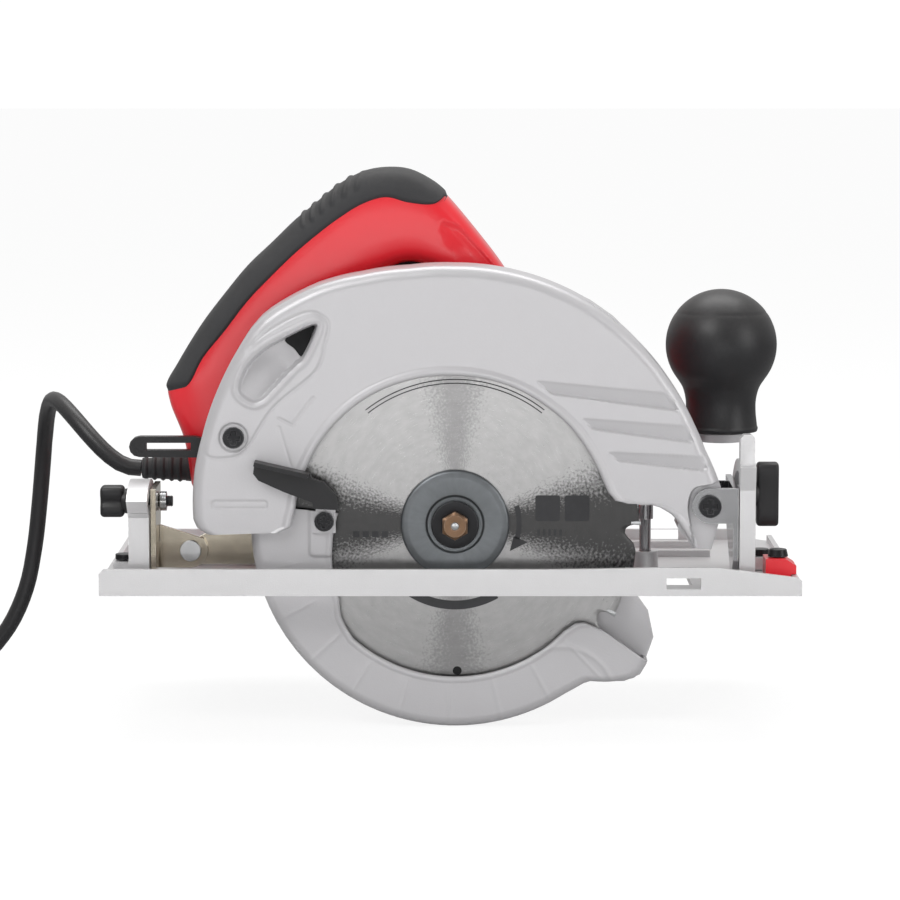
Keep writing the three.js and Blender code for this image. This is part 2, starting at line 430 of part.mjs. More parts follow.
// A casting with a thin near wall round the window, a far wall that carries the gear housing, and a rim between.
function upperGuard() {
  const innerNear = GUARD_NEAR + GUARD_WALL, innerFar = GUARD_FAR - GUARD_WALL;
  const cavity = join(
    slab(inset(guardOutline.slice(25).concat([[-111, -20], [-60, -30], [0, -40], [60, -30], [100, -20], [108, 0]]),
      GUARD_RIM), innerNear, innerFar),
    rod('y', COVER_R + 3.4, innerNear, innerFar, 0, 0, 0, 36));
  const lug = slab([[98, -1], [105, -10], [113, -10], [116.5, 2], [117, 17], [104, 24]], LUG_HALF, FORK_FAR - FIT);
  const seat = join(
    plate([[SEAT_X0, innerFar], [SEAT_X1, innerFar], [SEAT_FOOT, BALL_Y - 16], [SEAT_FOOT, BALL_Y],
      [SEAT_X0, BALL_Y]], SEAT_BASE, SEAT_BASE + 4.2),
    turnedUp([[0, 0], [11, 0], [14, 4], [0, 4]], BALL_X, BALL_Y, SEAT_BASE + 4, 20));
  const earTop = PIVOT_Z + EAR_R + 1, tilted = [130, earTop + 9];
  const frontCut = slab([[104.6, -20], [130, -20], tilted, [PIVOT_X, earTop + 0.6], [104, earTop],
    [101.5, PIVOT_Z], [104, -4]], GUARD_NEAR - THROUGH, LUG_HALF);
  const backCut = slab([[98, -20], [130, -20], tilted, [PIVOT_X, earTop + 1], [100, earTop + 1]],
    FORK_FAR - FIT, GUARD_FAR + 8);
  const walls = join(
    slab(guardOutline, GUARD_NEAR, innerNear), slab(backOutline, innerFar, GUARD_FAR),
    slab(guardOutline, innerNear, innerFar));
  const boltX = PIVOT_X + ARM_R * Math.cos(rad(LOCK_ANGLE)), boltZ = PIVOT_Z + ARM_R * Math.sin(rad(LOCK_ANGLE));
  return cut(
    join(cut(walls, cavity), lug, seat), frontCut, backCut,
    slab(outletOutline, GUARD_NEAR - THROUGH, innerNear + THROUGH),
    rod('y', BEVEL_PIN_R + RUN, -30, 30, PIVOT_X, 0, PIVOT_Z, 16),
    rod('y', NOSE_R + RUN, innerFar - THROUGH, GUARD_FAR + THROUGH, 0, 0, 0, 20),
    rod('y', LOCK_BOLT_R + FIT, innerFar - THROUGH, GUARD_FAR + THROUGH, boltX, 0, boltZ, 16),
    rod('y', 2.4, GUARD_NEAR - THROUGH, innerNear + THROUGH, -97, 0, 39.5, 12));
}
const OUTLET_SCREW_X = -97, OUTLET_SCREW_Z = 39.5;
piece(saw, 'upper_guard', upperGuard(), paintedCasting);
piece(saw, 'outlet_screw', crossScrew(OUTLET_SCREW_X, OUTLET_SCREW_Z, 4.7, GUARD_NEAR - 2.5, 2.5 - FIT, 2.1, -5),
  blackSteel);

// ---- Lower guard, its lever and its spring ------------------------------------------------------------------
// Angles run round the blade's axis from +X, so the chute's mouth is at the front and the boss at the rear.
function lowerGuard() {
  const rearEnd = 174, frontEnd = 303, inner = 67.5;
  const nearOutline = [
    ...arc(0, 0, COVER_R, rearEnd, frontEnd, 26), [57, -71], [60, -70], [75, -70], [82, -67], [85, -62],
    [75, -53.5], [65, -46.5], [56, -42.3], [48, -47], ...arc(0, 0, inner, 312, 218, 14), [-50, -41], [-51, -33],
    [-51, 8.5], [-69, 8.5],
  ];
  const farOutline = [
    ...arc(0, 0, COVER_R, rearEnd, frontEnd, 26), [57, -71], [60, -70], [75, -70], [82, -67], [85, -62],
    [88.5, -52], [86, -40], [81, -33], [74, -20], [74, 10], [70, 20], ...arc(0, 0, 30, 40, 130, 6), [-51, 8.5],
    [-69, 8.5],
  ];
  const chuteWall = [...arc(0, 0, COVER_R, rearEnd, frontEnd, 26), [57, -71], [60, -70], [75, -70], [82, -67],
    [85, -62], [83.2, -61.2], [80.8, -65.5], [74.6, -68.2], [60, -68.2], [56.4, -69.2],
    ...arc(0, 0, COVER_R - COVER_WALL, frontEnd - 1, rearEnd, 26)];
  return cut(
    join(slab(nearOutline, COVER_NEAR, COVER_NEAR + COVER_PLATE), slab(farOutline, COVER_FAR - COVER_PLATE, COVER_FAR),
      slab(chuteWall, COVER_NEAR, COVER_FAR), ring('y', 20.2, NOSE_R + RUN, COVER_FAR - COVER_PLATE, 11.4, 0, 0, 0, 20)),
    rod('y', NOSE_R + RUN, COVER_FAR - COVER_PLATE - THROUGH, 20, 0, 0, 0, 20),
    rod('y', 2.4, COVER_NEAR - THROUGH, COVER_NEAR + COVER_PLATE + THROUGH, LEVER_SCREW_X, 0, LEVER_SCREW_Z, 12));
}
const LEVER_SCREW_X = -57.5, LEVER_SCREW_Z = 2.2;

// The lever reaches from the guard's near plate round the upper guard's edge and stands clear of its face.
function guardLever() {
  const outline = [[-87.5, 29.8], [-63.8, 24.4], [-62.5, 22], [-57, 20], [-52.5, 15], [-50.5, 8], [-62, 8.5],
    [-62.5, 11.3], [-75, 16], [-86, 21], [-88.3, 24]];
  const face = GUARD_NEAR - RUN, foot = [[-63, -3], [-52.5, -3], [-52.5, 15], [-57, 20], [-61, 8.6]];
  return cut(
    join(slab(outline, face - 4, face), slab([[-87.5, 29.8], [-63.8, 24.4], [-64.2, 22.6], [-87.9, 28]], face - 10, face),
      slab([[-61, 8.6], [-51.6, 8.6], [-52.5, 15], [-57, 18.6]], face - 1, COVER_NEAR - FIT),
      slab(foot, COVER_NEAR - FIT - 1.8, COVER_NEAR - FIT)),
    rod('y', 2.4, -30, 0, LEVER_SCREW_X, 0, LEVER_SCREW_Z, 12));
}
piece(saw, 'lower_guard', lowerGuard(), paintedCasting);
piece(saw, 'lower_guard_lever', guardLever(), blackPlastic);
piece(saw, 'lever_screw', crossScrew(LEVER_SCREW_X, LEVER_SCREW_Z, 4.3, COVER_NEAR - 4.4, 2, 2.1,
  COVER_NEAR + COVER_PLATE + 2), blackSteel);
piece(saw, 'lower_guard_spring', ring('y', 23, 20.6, COVER_FAR + FIT, 11.5, 0, 0, 0, 20), groundSteel);
piece(saw, 'lower_guard_circlip', ring('y', 20.5, NOSE_R + FIT, 5, COVER_FAR - COVER_PLATE - FIT, 0, 0, 0, 20),
  blueSteel);

// ---- Blade and spindle --------------------------------------------------------------------------------------
function blade() {
  const outline = [];
  for (let i = 0; i < TEETH; i += 1) {
    const at = -360 * i / TEETH, gullet = BLADE_R - TOOTH_DEPTH;
    outline.push(polar(BLADE_R, at), polar(gullet, at + 1), polar(gullet - 1.5, at - 2.2),
      polar(gullet + 1, at - 4.6), polar(BLADE_R - 1.6, at - 6.4), polar(BLADE_R - 0.7, at - 12.4));
  }
  return cut(slab(outline, -BLADE_PLATE / 2, BLADE_PLATE / 2), rod('y', BORE_R, -5, 5, 0, 0, 0, 20),
    rod('y', 2, -5, 5, 1, 0, -66, 12));
}
const seatGap = BLADE_PLATE / 2 + FIT;
const outerFlangeFace = -seatGap - FLANGE_THICK, washerFace = outerFlangeFace - FIT - WASHER_THICK;
const boltFace = washerFace - FIT - BOLT_HEAD;
const spindleEnd = HOUSING_END - 1;

const innerFlange = () => cut(
  join(rod('y', FLANGE_R, seatGap, seatGap + FLANGE_THICK, 0, 0, 0, 28),
    rod('y', BORE_R - FIT, -BLADE_PLATE / 2, seatGap + 1, 0, 0, 0, 20)),
  rod('y', BOLT_R + FIT, -5, 10, 0, 0, 0, 16));
const outerFlange = () => cut(
  turned([[0, outerFlangeFace + 1], [WASHER_R + 2, outerFlangeFace + 1], [WASHER_R + 3, outerFlangeFace],
    [FLANGE_R - 1, outerFlangeFace], [FLANGE_R, outerFlangeFace + 1], [FLANGE_R, -seatGap], [0, -seatGap]], 0, 0, 0, 28),
  rod('y', BOLT_R + FIT, -10, 5, 0, 0, 0, 16));
const spindle = () => cut(
  rod('y', SPINDLE_R, seatGap + FLANGE_THICK + FIT, spindleEnd, 0, 0, 0, 20),
  rod('y', BOLT_R + FIT, 0, 21, 0, 0, 0, 16));

const MODULE = 2 * Math.hypot(MOTOR_X, MOTOR_Z) / (GEAR_TEETH + PINION_TEETH);
const MESH_ANGLE = THREE.MathUtils.radToDeg(Math.atan2(MOTOR_Z, MOTOR_X));

// A spur gear's outline: straight-sided teeth, with a tooth (or a gap) turned to face the other gear.
function gearOutline(teeth, x, z, facing, gapFaces) {
  const pitchR = MODULE * teeth / 2, pitch = 360 / teeth, start = facing + (gapFaces ? pitch / 2 : 0);
  return Array.from({ length: teeth }, (_, i) => start + i * pitch).flatMap((at) => [
    polar(pitchR - 1.15 * MODULE, at - pitch * 0.33, x, z), polar(pitchR + 0.75 * MODULE, at - pitch * 0.11, x, z),
    polar(pitchR + 0.75 * MODULE, at + pitch * 0.11, x, z), polar(pitchR - 1.15 * MODULE, at + pitch * 0.33, x, z)]);
}
const drivenGear = () => cut(
  slab(gearOutline(GEAR_TEETH, 0, 0, MESH_ANGLE, true), GEAR_START, GEAR_START + GEAR_WIDTH),
  rod('y', SPINDLE_R + FIT, 0, 50, 0, 0, 0, 20));

piece(saw, 'blade', blade(), groundSteel);
piece(saw, 'inner_flange', innerFlange(), blueSteel);
piece(saw, 'outer_flange', outerFlange(), blueSteel);
piece(saw, 'blade_washer', ring('y', WASHER_R, BOLT_R + FIT, washerFace, washerFace + WASHER_THICK), blackSteel);
piece(saw, 'blade_bolt', join(rod('y', BOLT_FLATS / Math.sqrt(3), boltFace, boltFace + BOLT_HEAD, 0, 0, 0, 6),
  rod('y', BOLT_R, boltFace + 1, 19, 0, 0, 0, 16)), bronzedSteel);
piece(saw, 'spindle', spindle(), groundSteel);
piece(saw, 'driven_gear', drivenGear(), blueSteel);

// ---- Gear housing and motor ---------------------------------------------------------------------------------
const GEAR_ROOM = MODULE * GEAR_TEETH / 2 + MODULE + 1, PINION_ROOM = 11;
const MOTOR_END = MOTOR_START + MOTOR_LENGTH, CAP_START = MOTOR_END + FIT, CAP_END = CAP_START + CAP_LENGTH;
const LOCK_BUTTON_Y = 31.4, BEARING_R = 9.6, BEARING_WIDTH = 6, BUTTON_STEM_R = 1.9;

// Two circles and their common tangents, as one outline.
function eggOutline(big, small) {
  const spread = THREE.MathUtils.radToDeg(Math.acos((big - small) / Math.hypot(MOTOR_X, MOTOR_Z)));
  return [...arc(0, 0, big, MESH_ANGLE + spread, MESH_ANGLE + 360 - spread, 18),
    ...arc(MOTOR_X, MOTOR_Z, small, MESH_ANGLE - spread, MESH_ANGLE + spread, 6)];
}
function gearHousing() {
  const room = slab(eggOutline(GEAR_ROOM, PINION_ROOM), HOUSING_START + 2.6, HOUSING_END + THROUGH);
  const shell = slab(eggOutline(GEAR_ROOM + HOUSING_WALL, PINION_ROOM + HOUSING_WALL), HOUSING_START, HOUSING_END);
  return cut(join(shell, rod('y', NOSE_R, seatGap + FLANGE_THICK + 0.7, HOUSING_START + 1, 0, 0, 0, 20)),
    room, rod('y', NOSE_BORE, 0, HOUSING_START + 5, 0, 0, 0, 20),
    rod('x', BUTTON_STEM_R + RUN, 10, 60, 0, LOCK_BUTTON_Y, 0, 12));
}
const motorRing = (outer, inner, from, to, sides = 20) => ring('y', outer, inner, from, to, MOTOR_X, 0, MOTOR_Z, sides);
const motorRod = (r, from, to, sides = 20) => rod('y', r, from, to, MOTOR_X, 0, MOTOR_Z, sides);
const BRUSH_Y = 107, BRUSH_HALF = 4;

function motorHousing() {
  const inner = MOTOR_R - MOTOR_WALL;
  const brushHole = (side) => block(MOTOR_X + side * 50 - 20, MOTOR_X + side * 50 + 20, BRUSH_Y - BRUSH_HALF - RUN,
    BRUSH_Y + BRUSH_HALF + RUN, MOTOR_Z - BRUSH_HALF - RUN, MOTOR_Z + BRUSH_HALF + RUN);
  return cut(
    join(motorRod(MOTOR_R, MOTOR_START, MOTOR_END, 28)),
    motorRod(inner, MOTOR_START + 7, MOTOR_END + THROUGH, 24),
    motorRod(BEARING_R + FIT, MOTOR_START - THROUGH, MOTOR_START + 8, 24), brushHole(1), brushHole(-1));
}
function endCap() {
  const back = CAP_END - 3, profile = [[0, back], [0, CAP_END], [20, CAP_END], [30, CAP_END - 2.5], [36, CAP_END - 8],
    [MOTOR_R, CAP_END - 15], [MOTOR_R, CAP_START], [MOTOR_R - MOTOR_WALL, CAP_START], [MOTOR_R - MOTOR_WALL, CAP_END - 15],
    [32, CAP_END - 9], [26, back - 1.5], [BEARING_R + 3, back], [BEARING_R + 3, back - BEARING_WIDTH],
    [BEARING_R + FIT, back - BEARING_WIDTH], [BEARING_R + FIT, back], [0, back]];
  const vents = [];
  for (let i = 0; i < 6; i += 1) {
    const [x, z] = polar(20, 30 + 60 * i, MOTOR_X, MOTOR_Z);
    vents.push(rod('y', 4, back - 4, CAP_END + THROUGH, x, 0, z, 6));
  }
  return cut(turned(profile, MOTOR_X, 0, MOTOR_Z, 24), ...vents);
}
function armatureShaft() {
  const pinion = slab(gearOutline(PINION_TEETH, MOTOR_X, MOTOR_Z, MESH_ANGLE + 180, false), GEAR_START - 0.5,
    GEAR_START + GEAR_WIDTH + 1);
  return join(motorRod(SHAFT_R, GEAR_START - 1, CAP_END - 3.6, 16), pinion);
}
function armatureCore() {
  const grooves = [];
  for (let i = 0; i < 12; i += 1) {
    const [x, z] = polar(CORE_R, 30 * i, MOTOR_X, MOTOR_Z);
    grooves.push(rod('y', 1.8, 50, 100, x, 0, z, 6));
  }
  return cut(motorRing(CORE_R, SHAFT_R + FIT, 57, 93, 24), ...grooves);
}
function coolingFan() {
  const blades = [];
  for (let i = 0; i < 8; i += 1) {
    const [x0, z0] = polar(9, 45 * i, MOTOR_X, MOTOR_Z), [x1, z1] = polar(FAN_R, 45 * i + 18, MOTOR_X, MOTOR_Z);
    const [x2, z2] = polar(FAN_R, 45 * i + 22, MOTOR_X, MOTOR_Z), [x3, z3] = polar(9, 45 * i + 14, MOTOR_X, MOTOR_Z);
    blades.push(slab([[x0, z0], [x1, z1], [x2, z2], [x3, z3]], 44, 51));
  }
  return cut(join(motorRod(FAN_R, 43.4, 45, 18), motorRod(10, 43.4, 52, 12), ...blades), motorRod(SHAFT_R + FIT, 40, 60, 16));
}
const bearing = (from, bore, outer) => ring('y', outer, bore, from, from + BEARING_WIDTH, MOTOR_X, 0, MOTOR_Z, 16);
const brush = (side) => block(...[MOTOR_X + side * (COMMUTATOR_R + FIT), MOTOR_X + side * (MOTOR_R - 0.6)].sort((a, b) => a - b),
  BRUSH_Y - BRUSH_HALF, BRUSH_Y + BRUSH_HALF, MOTOR_Z - BRUSH_HALF, MOTOR_Z + BRUSH_HALF);

piece(saw, 'gear_housing', gearHousing(), bareCasting);
piece(saw, 'spindle_bearing', ring('y', NOSE_BORE - FIT, SPINDLE_R + FIT, 6, 14), blueSteel);
piece(saw, 'motor_housing', motorHousing(), redPlastic);
piece(saw, 'motor_end_cap', endCap(), blackPlastic);
piece(saw, 'front_bearing', bearing(MOTOR_START + FIT, SHAFT_R + FIT, BEARING_R), blueSteel);
piece(saw, 'rear_bearing', bearing(CAP_END - 3 - BEARING_WIDTH - FIT, SHAFT_R + FIT, BEARING_R), blueSteel);
piece(saw, 'field_coil', motorRing(FIELD_R, CORE_R + 1, 55, 95, 24), copper);
piece(saw, 'brush_front', brush(1), carbon);
piece(saw, 'brush_rear', brush(-1), carbon);
piece(saw, 'armature_shaft', armatureShaft(), groundSteel);
piece(saw, 'armature_core', armatureCore(), blueSteel);
piece(saw, 'commutator', motorRing(COMMUTATOR_R, SHAFT_R + FIT, 100, 114, 16), copper);
piece(saw, 'cooling_fan', coolingFan(), blackPlastic);

function spindleLockButton() {
  const headR = 5, motorSide = MOTOR_X + Math.sqrt(MOTOR_R ** 2 - (MOTOR_Z - headR) ** 2);
  const head = Math.max(GEAR_ROOM + HOUSING_WALL + 3.8, motorSide + RUN);
  return join(rod('x', BUTTON_STEM_R, 13.5, head + 0.7, 0, LOCK_BUTTON_Y, 0, 12),
    rod('x', headR, head, head + 5.2, 0, LOCK_BUTTON_Y - 1, 0, 20));
}
piece(saw, 'spindle_lock_button', spindleLockButton(), redPlastic);

// ---- Handle -------------------------------------------------------------------------------------------------
const HANDLE_NEAR = HANDLE_Y - HANDLE_WIDTH / 2, HANDLE_FAR = HANDLE_Y + HANDLE_WIDTH / 2;
const handleOutline = [
  [-119, 12], [-122.2, 33], [-128.5, 50], [-129.4, 57.8], [-124, 68], [-113, 85.5], [-102.7, 98.9], [-92.4, 111.2],
  [-82, 121], [-71.9, 130.8], [-61.6, 139.5], [-51.3, 147.7], [-41, 152.9], [-30.8, 154.7], [-20.5, 153.8],
  [-10.2, 148.7], [-4.6, 144.1], [10, 127], [23.2, 109.2], [33, 90], [35, 70], [28, 52], [MOTOR_X, MOTOR_Z],
  [-40, 8], [-112, 8],
];
const handOpening = [[-12, 112], [-24, 113], [-44, 99.5], [-63, 81.5], [-81, 58], [-84, 46], [-76, 39], [-60, 42],
  [-40, 61], [-28, 70], [-14, 76], [2, 82], [8, 92], [2, 103]];
// The rubber's own edge on the handle's sides, from its rear end to its front end.
const rubberEdge = [[-4, 143.5], [-9.2, 139.9], [-20.5, 140.4], [-30.8, 142.8], [-41, 139.9], [-51.3, 133.7],
  [-61.6, 126], [-71.9, 117.3], [-82, 107.5], [-92.4, 96.7], [-102.7, 83.4], [-113, 70.6], [-118, 60.9],
  [-121, 57.3], [-125.2, 56.2]];
const rubberBand = [...handleOutline.slice(3, 17), ...rubberEdge];
const handleCore = inset(handleOutline, RUBBER);
const TRIGGER_HALF = 7;
const triggerOutline = [[-15, 113], [-20, 115], [-45, 108], [-56, 97], [-52, 88], [-42, 93], [-31, 102], [-20, 106],
  [-15, 108]];
const triggerPocket = [[-10, 116], [-20, 121], [-48, 114], [-61, 100], [-58, 84], [-46, 84], [-30, 96], [-12, 104]];

function handleBody(near, far, wallNear, wallFar) {
  const opening = handOpening;
  const body = join(
    cut(slab(handleOutline, near, far), slab(inset(rubberBand, -FIT), near - THROUGH, far + THROUGH)),
    slab(handleCore, Math.max(near, HANDLE_NEAR + RUBBER - RUBBER_PROUD + FIT),
      Math.min(far, HANDLE_FAR - RUBBER + RUBBER_PROUD - FIT)));
  const hollow = cut(slab(inset(handleOutline, RUBBER + HANDLE_WALL), wallNear, wallFar),
    slab(inset(opening, -HANDLE_WALL), near - THROUGH, far + THROUGH),
    motorRod(MOTOR_R + FIT + HANDLE_WALL, 0, 100, 28));
  return cut(body, hollow,
    slab(opening, near - THROUGH, far + THROUGH), motorRod(MOTOR_R + FIT, 0, 100, 28),
    slab(eggOutline(GEAR_ROOM + HOUSING_WALL + 1, PINION_ROOM + HOUSING_WALL + 1), 0, HOUSING_END + 1),
    slab(triggerPocket, HANDLE_Y - TRIGGER_HALF - RUN, HANDLE_Y + TRIGGER_HALF + RUN),
    rod('x', 6.9, -140, -108, 0, HANDLE_Y, CORD_Z, 20),
    rod('y', 4.2 + RUN, HANDLE_Y + 12, HANDLE_FAR + THROUGH, BUTTON_X, 0, BUTTON_Z, 16));
}
const BUTTON_X = -46, BUTTON_Z = 118;
const overgrip = () => cut(
  slab(rubberBand, HANDLE_NEAR - RUBBER_PROUD, HANDLE_FAR + RUBBER_PROUD),
  slab(inset(handleOutline, RUBBER - FIT), HANDLE_NEAR + RUBBER - RUBBER_PROUD, HANDLE_FAR - RUBBER + RUBBER_PROUD),
  rod('y', 4.2 + RUN, HANDLE_Y + 12, HANDLE_FAR + 3, BUTTON_X, 0, BUTTON_Z, 16));

const split = FIT / 2;
piece(saw, 'handle_right_half', handleBody(HANDLE_NEAR, HANDLE_Y - split, HANDLE_NEAR + HANDLE_WALL + 1, HANDLE_Y + 5),
  redPlastic);
piece(saw, 'handle_left_half', handleBody(HANDLE_Y + split, HANDLE_FAR, HANDLE_Y - 5, HANDLE_FAR - HANDLE_WALL - 1),
  redPlastic);
piece(saw, 'handle_overgrip', overgrip(), softRubber);
piece(saw, 'trigger', slab(triggerOutline, HANDLE_Y - TRIGGER_HALF, HANDLE_Y + TRIGGER_HALF), blackPlastic);
piece(saw, 'lock_off_button', join(rod('y', 4.2, HANDLE_Y + 13, HANDLE_FAR + 4, BUTTON_X, 0, BUTTON_Z, 16)), blackPlastic);
piece(saw, 'switch_body', block(-74, -64, HANDLE_Y - 8, HANDLE_Y + 8, 103, 114), blackPlastic);

// The ball handle is turned: a sphere that runs down into a flared neck, on the guard's seat.
function ballHandle() {
  const profile = [[0, BALL_Z + BALL_R]];
  for (let angle = 75; angle >= -45; angle -= 15) {
    profile.push([BALL_R * Math.cos(rad(angle)), BALL_Z + BALL_R * Math.sin(rad(angle))]);
  }
  profile.push([NECK_R - 0.6, BALL_FOOT + 19], [NECK_R, BALL_FOOT + 2], [NECK_R - 1.5, BALL_FOOT + FIT], [0, BALL_FOOT + FIT]);
  return turnedUp(profile, BALL_X, BALL_Y, 0, 20);
}
piece(saw, 'ball_handle', ballHandle(), blackPlastic);

// ---- Depth lock ---------------------------------------------------------------------------------------------
const [LOCK_X, LOCK_Z] = polar(ARM_R, LOCK_ANGLE, PIVOT_X, PIVOT_Z);
const LEVER_START = ARM_Y + ARM_THICK + FIT, LEVER_THICK = 5.8;
function depthLever() {
  const outline = [...arc(LOCK_X, LOCK_Z, 7.5, -150, 60, 10), [-94, 30.6], [-116, 36.4], ...arc(-141, 31.8, 4.6, 90, 270, 6),
    [-114, 27], [-100, 23]];
  return cut(slab(outline, LEVER_START, LEVER_START + LEVER_THICK),
    slab([[-138, 30.3], [-118, 30.3], [-118, 33.6], [-138, 33.6]], 0, 50),
    rod('y', LOCK_BOLT_R + FIT, 0, 50, LOCK_X, 0, LOCK_Z, 16));
}
const depthBolt = () => join(rod('y', 5, GUARD_FAR - GUARD_WALL - FIT - 1.6, GUARD_FAR - GUARD_WALL - FIT, LOCK_X, 0, LOCK_Z, 6),
  rod('y', LOCK_BOLT_R, GUARD_FAR - GUARD_WALL - FIT - 1, LEVER_START + LEVER_THICK + 0.8, LOCK_X, 0, LOCK_Z, 16));
piece(saw, 'depth_lock_bolt', depthBolt(), groundSteel);
piece(saw, 'depth_lock_lever', depthLever(), blackPlastic);

// ---- Cord: its relief, the free lead, the coil that the spare length is wound into, its tie and its plug -----
piece(saw, 'strain_relief', join(
  rod('x', 6.4, -118, -109, 0, HANDLE_Y, CORD_Z, 20),
  rod('x', 4.6, RELIEF_TIP, -117, 0, HANDLE_Y, CORD_Z, 20, 6.2)), softRubber);

// The lead leaves the relief, rises in a bow that leans to the motor's side, and drops to the floor.
const cordPoints = [
  [RELIEF_TIP - FIT, 44, 19.4], [-146, 44, 19.5], [-152, 44.2, 21.6], [-159, 45.4, 26.8], [-166, 48.4, 33.6],
  [-173.5, 54.8, 41], [-180.6, 65, 46.6],
  [-186, 78, 47], [-189.6, 90, 40], [-192, 99, 28], [-194, 104.5, 12], [-196, 107, -6], [-198.6, 108, -26],
  [-203, 108, -46], [-212, 108, -65], [-225, 108, -79], [-240, 108, -85], [-256, 108, -86.2],
  [-270.4, 108, -86.2],
];
const coilHalf = COIL_ACROSS * CORD_D / 2;
function cordTube() {
  const curve = new THREE.CatmullRomCurve3(cordPoints.map((p) => new THREE.Vector3(...p)), false, 'centripetal');
  const r = CORD_D / 2, section = arc(0, 0, r, 0, 360, 10).slice(0, -1);
  return solid(new THREE.ExtrudeGeometry(shapeOf(section), { steps: 26, extrudePath: curve, bevelEnabled: false }));
}
function cordCoil() {
  const floor = FLOOR_Z, top = floor + COIL_LAYERS * CORD_D, inner = COIL_MEAN_R - coilHalf, outer = COIL_MEAN_R + coilHalf;
  const profile = [[inner, top - 3], [inner, floor + 3], [inner + 3, floor], [outer - 3, floor], [outer, floor + 3],
    [outer, top - 3], [outer - 3, top], [inner + 3, top], [inner, top - 3]];
  return turnedUp(profile, COIL_X, COIL_Y, 0, 28);
}
function cordTie() {
  const x = COIL_X + COIL_MEAN_R, top = FLOOR_Z + COIL_LAYERS * CORD_D, half = coilHalf + 2 * FIT;
  return cut(block(x - half - 1.2, x + half + 1.2, COIL_Y - 4, COIL_Y + 4, top - 8, top + FIT + 1.2),
    block(x - half, x + half, COIL_Y - 5, COIL_Y + 5, top - 9, top + FIT));
}
// The plug lies on top of the coil, along -X, where the lead's end comes in across the coil's hole.
function mainsPlug() {
  const half = 11, long = 36, sleeve = 30, x = COIL_X + 10, y = COIL_Y + 31;
  const z = FLOOR_Z + COIL_LAYERS * CORD_D + FIT + half, back = x - sleeve, face = back - long;
  const pin = (side) => rod('x', 2.4, face - 19, face + 1, 0, y + side * 9.5, z, 12);
  return join(rod('x', 4.6, back - 1, x, 0, y, z, 16),
    plate([[back, y - 12], [back - 6, y - 14], [face + 3, y - 14], [face, y - 12], [face, y + 12], [face + 3, y + 14],
      [back - 6, y + 14], [back, y + 12]], z - half, z + half),
    pin(1), pin(-1));
}
piece(saw, 'cord', cordTube(), softRubber);
piece(model, 'cord_coil', cordCoil(), softRubber);
piece(model, 'cord_tie', cordTie(), blackPlastic);
piece(model, 'mains_plug', mainsPlug(), blackPlastic);

export default model;
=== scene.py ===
"""Circular saw: the finished look of each piece, laid over its engineering model.

Lengths in the piece functions are millimetres in the blade's own frame (x the way it cuts, y towards the motor,
z up, from the middle of the blade) unless a note says otherwise. placed() turns them into metres in the model.
"""
import json
import math

import bmesh
import bpy
import numpy as np
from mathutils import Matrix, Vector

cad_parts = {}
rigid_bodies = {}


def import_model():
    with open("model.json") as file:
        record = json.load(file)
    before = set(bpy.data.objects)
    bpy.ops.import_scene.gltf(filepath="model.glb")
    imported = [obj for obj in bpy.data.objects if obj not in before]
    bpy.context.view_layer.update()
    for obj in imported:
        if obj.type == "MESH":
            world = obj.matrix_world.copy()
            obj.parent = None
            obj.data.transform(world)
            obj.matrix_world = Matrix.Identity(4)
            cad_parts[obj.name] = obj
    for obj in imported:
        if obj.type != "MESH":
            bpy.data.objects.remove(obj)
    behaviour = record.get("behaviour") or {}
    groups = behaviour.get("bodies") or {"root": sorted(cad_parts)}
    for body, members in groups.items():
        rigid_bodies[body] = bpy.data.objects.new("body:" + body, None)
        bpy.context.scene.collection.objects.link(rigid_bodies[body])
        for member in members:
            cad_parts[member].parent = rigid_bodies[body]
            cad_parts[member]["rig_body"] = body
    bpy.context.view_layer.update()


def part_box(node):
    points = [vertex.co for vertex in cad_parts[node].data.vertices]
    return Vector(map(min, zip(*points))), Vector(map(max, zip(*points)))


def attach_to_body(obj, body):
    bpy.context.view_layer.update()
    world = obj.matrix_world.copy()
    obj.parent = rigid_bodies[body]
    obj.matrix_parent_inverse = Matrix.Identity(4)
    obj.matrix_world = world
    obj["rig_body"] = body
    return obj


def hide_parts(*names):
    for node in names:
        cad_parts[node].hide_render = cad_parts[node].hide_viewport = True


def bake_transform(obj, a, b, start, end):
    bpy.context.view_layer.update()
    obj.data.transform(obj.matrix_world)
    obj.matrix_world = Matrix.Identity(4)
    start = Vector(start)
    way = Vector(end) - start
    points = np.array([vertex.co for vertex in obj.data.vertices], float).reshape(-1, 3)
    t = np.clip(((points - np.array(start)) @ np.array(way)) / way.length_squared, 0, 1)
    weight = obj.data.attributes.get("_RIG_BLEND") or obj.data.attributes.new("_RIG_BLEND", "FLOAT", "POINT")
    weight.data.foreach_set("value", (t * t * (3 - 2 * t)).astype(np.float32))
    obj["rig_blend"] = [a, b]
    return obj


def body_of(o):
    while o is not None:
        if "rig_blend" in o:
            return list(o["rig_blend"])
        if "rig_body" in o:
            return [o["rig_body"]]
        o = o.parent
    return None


bl_info = {
    "name": "Circular Saw Pieces",
    "version": (1, 0, 0),
    "blender": (4, 5, 0),
    "location": "3D View > Sidebar > Saw",
    "description": "Builds the finished pieces of a corded circular saw over its engineering model",
    "category": "Add Mesh",
}

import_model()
MM = 0.001
TAU = 2 * math.pi


def middle_of(node):
    """Middle of a node's box at rest, in millimetres."""
    low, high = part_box(node)
    return (np.array(low) + np.array(high)) / 2 / MM


def edges_of(node):
    """Lowest and highest corner of a node's box at rest, in millimetres of the blade's frame."""
    low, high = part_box(node)
    return np.array(low) / MM - BLADE, np.array(high) / MM - BLADE


BLADE = np.array([2.0, -50.0, 28.0])
BLADE[1] = middle_of("blade")[1]
FLOOR_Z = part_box("lower_guard")[0][2]


# ---- Settings ------------------------------------------------------------------------------------------------

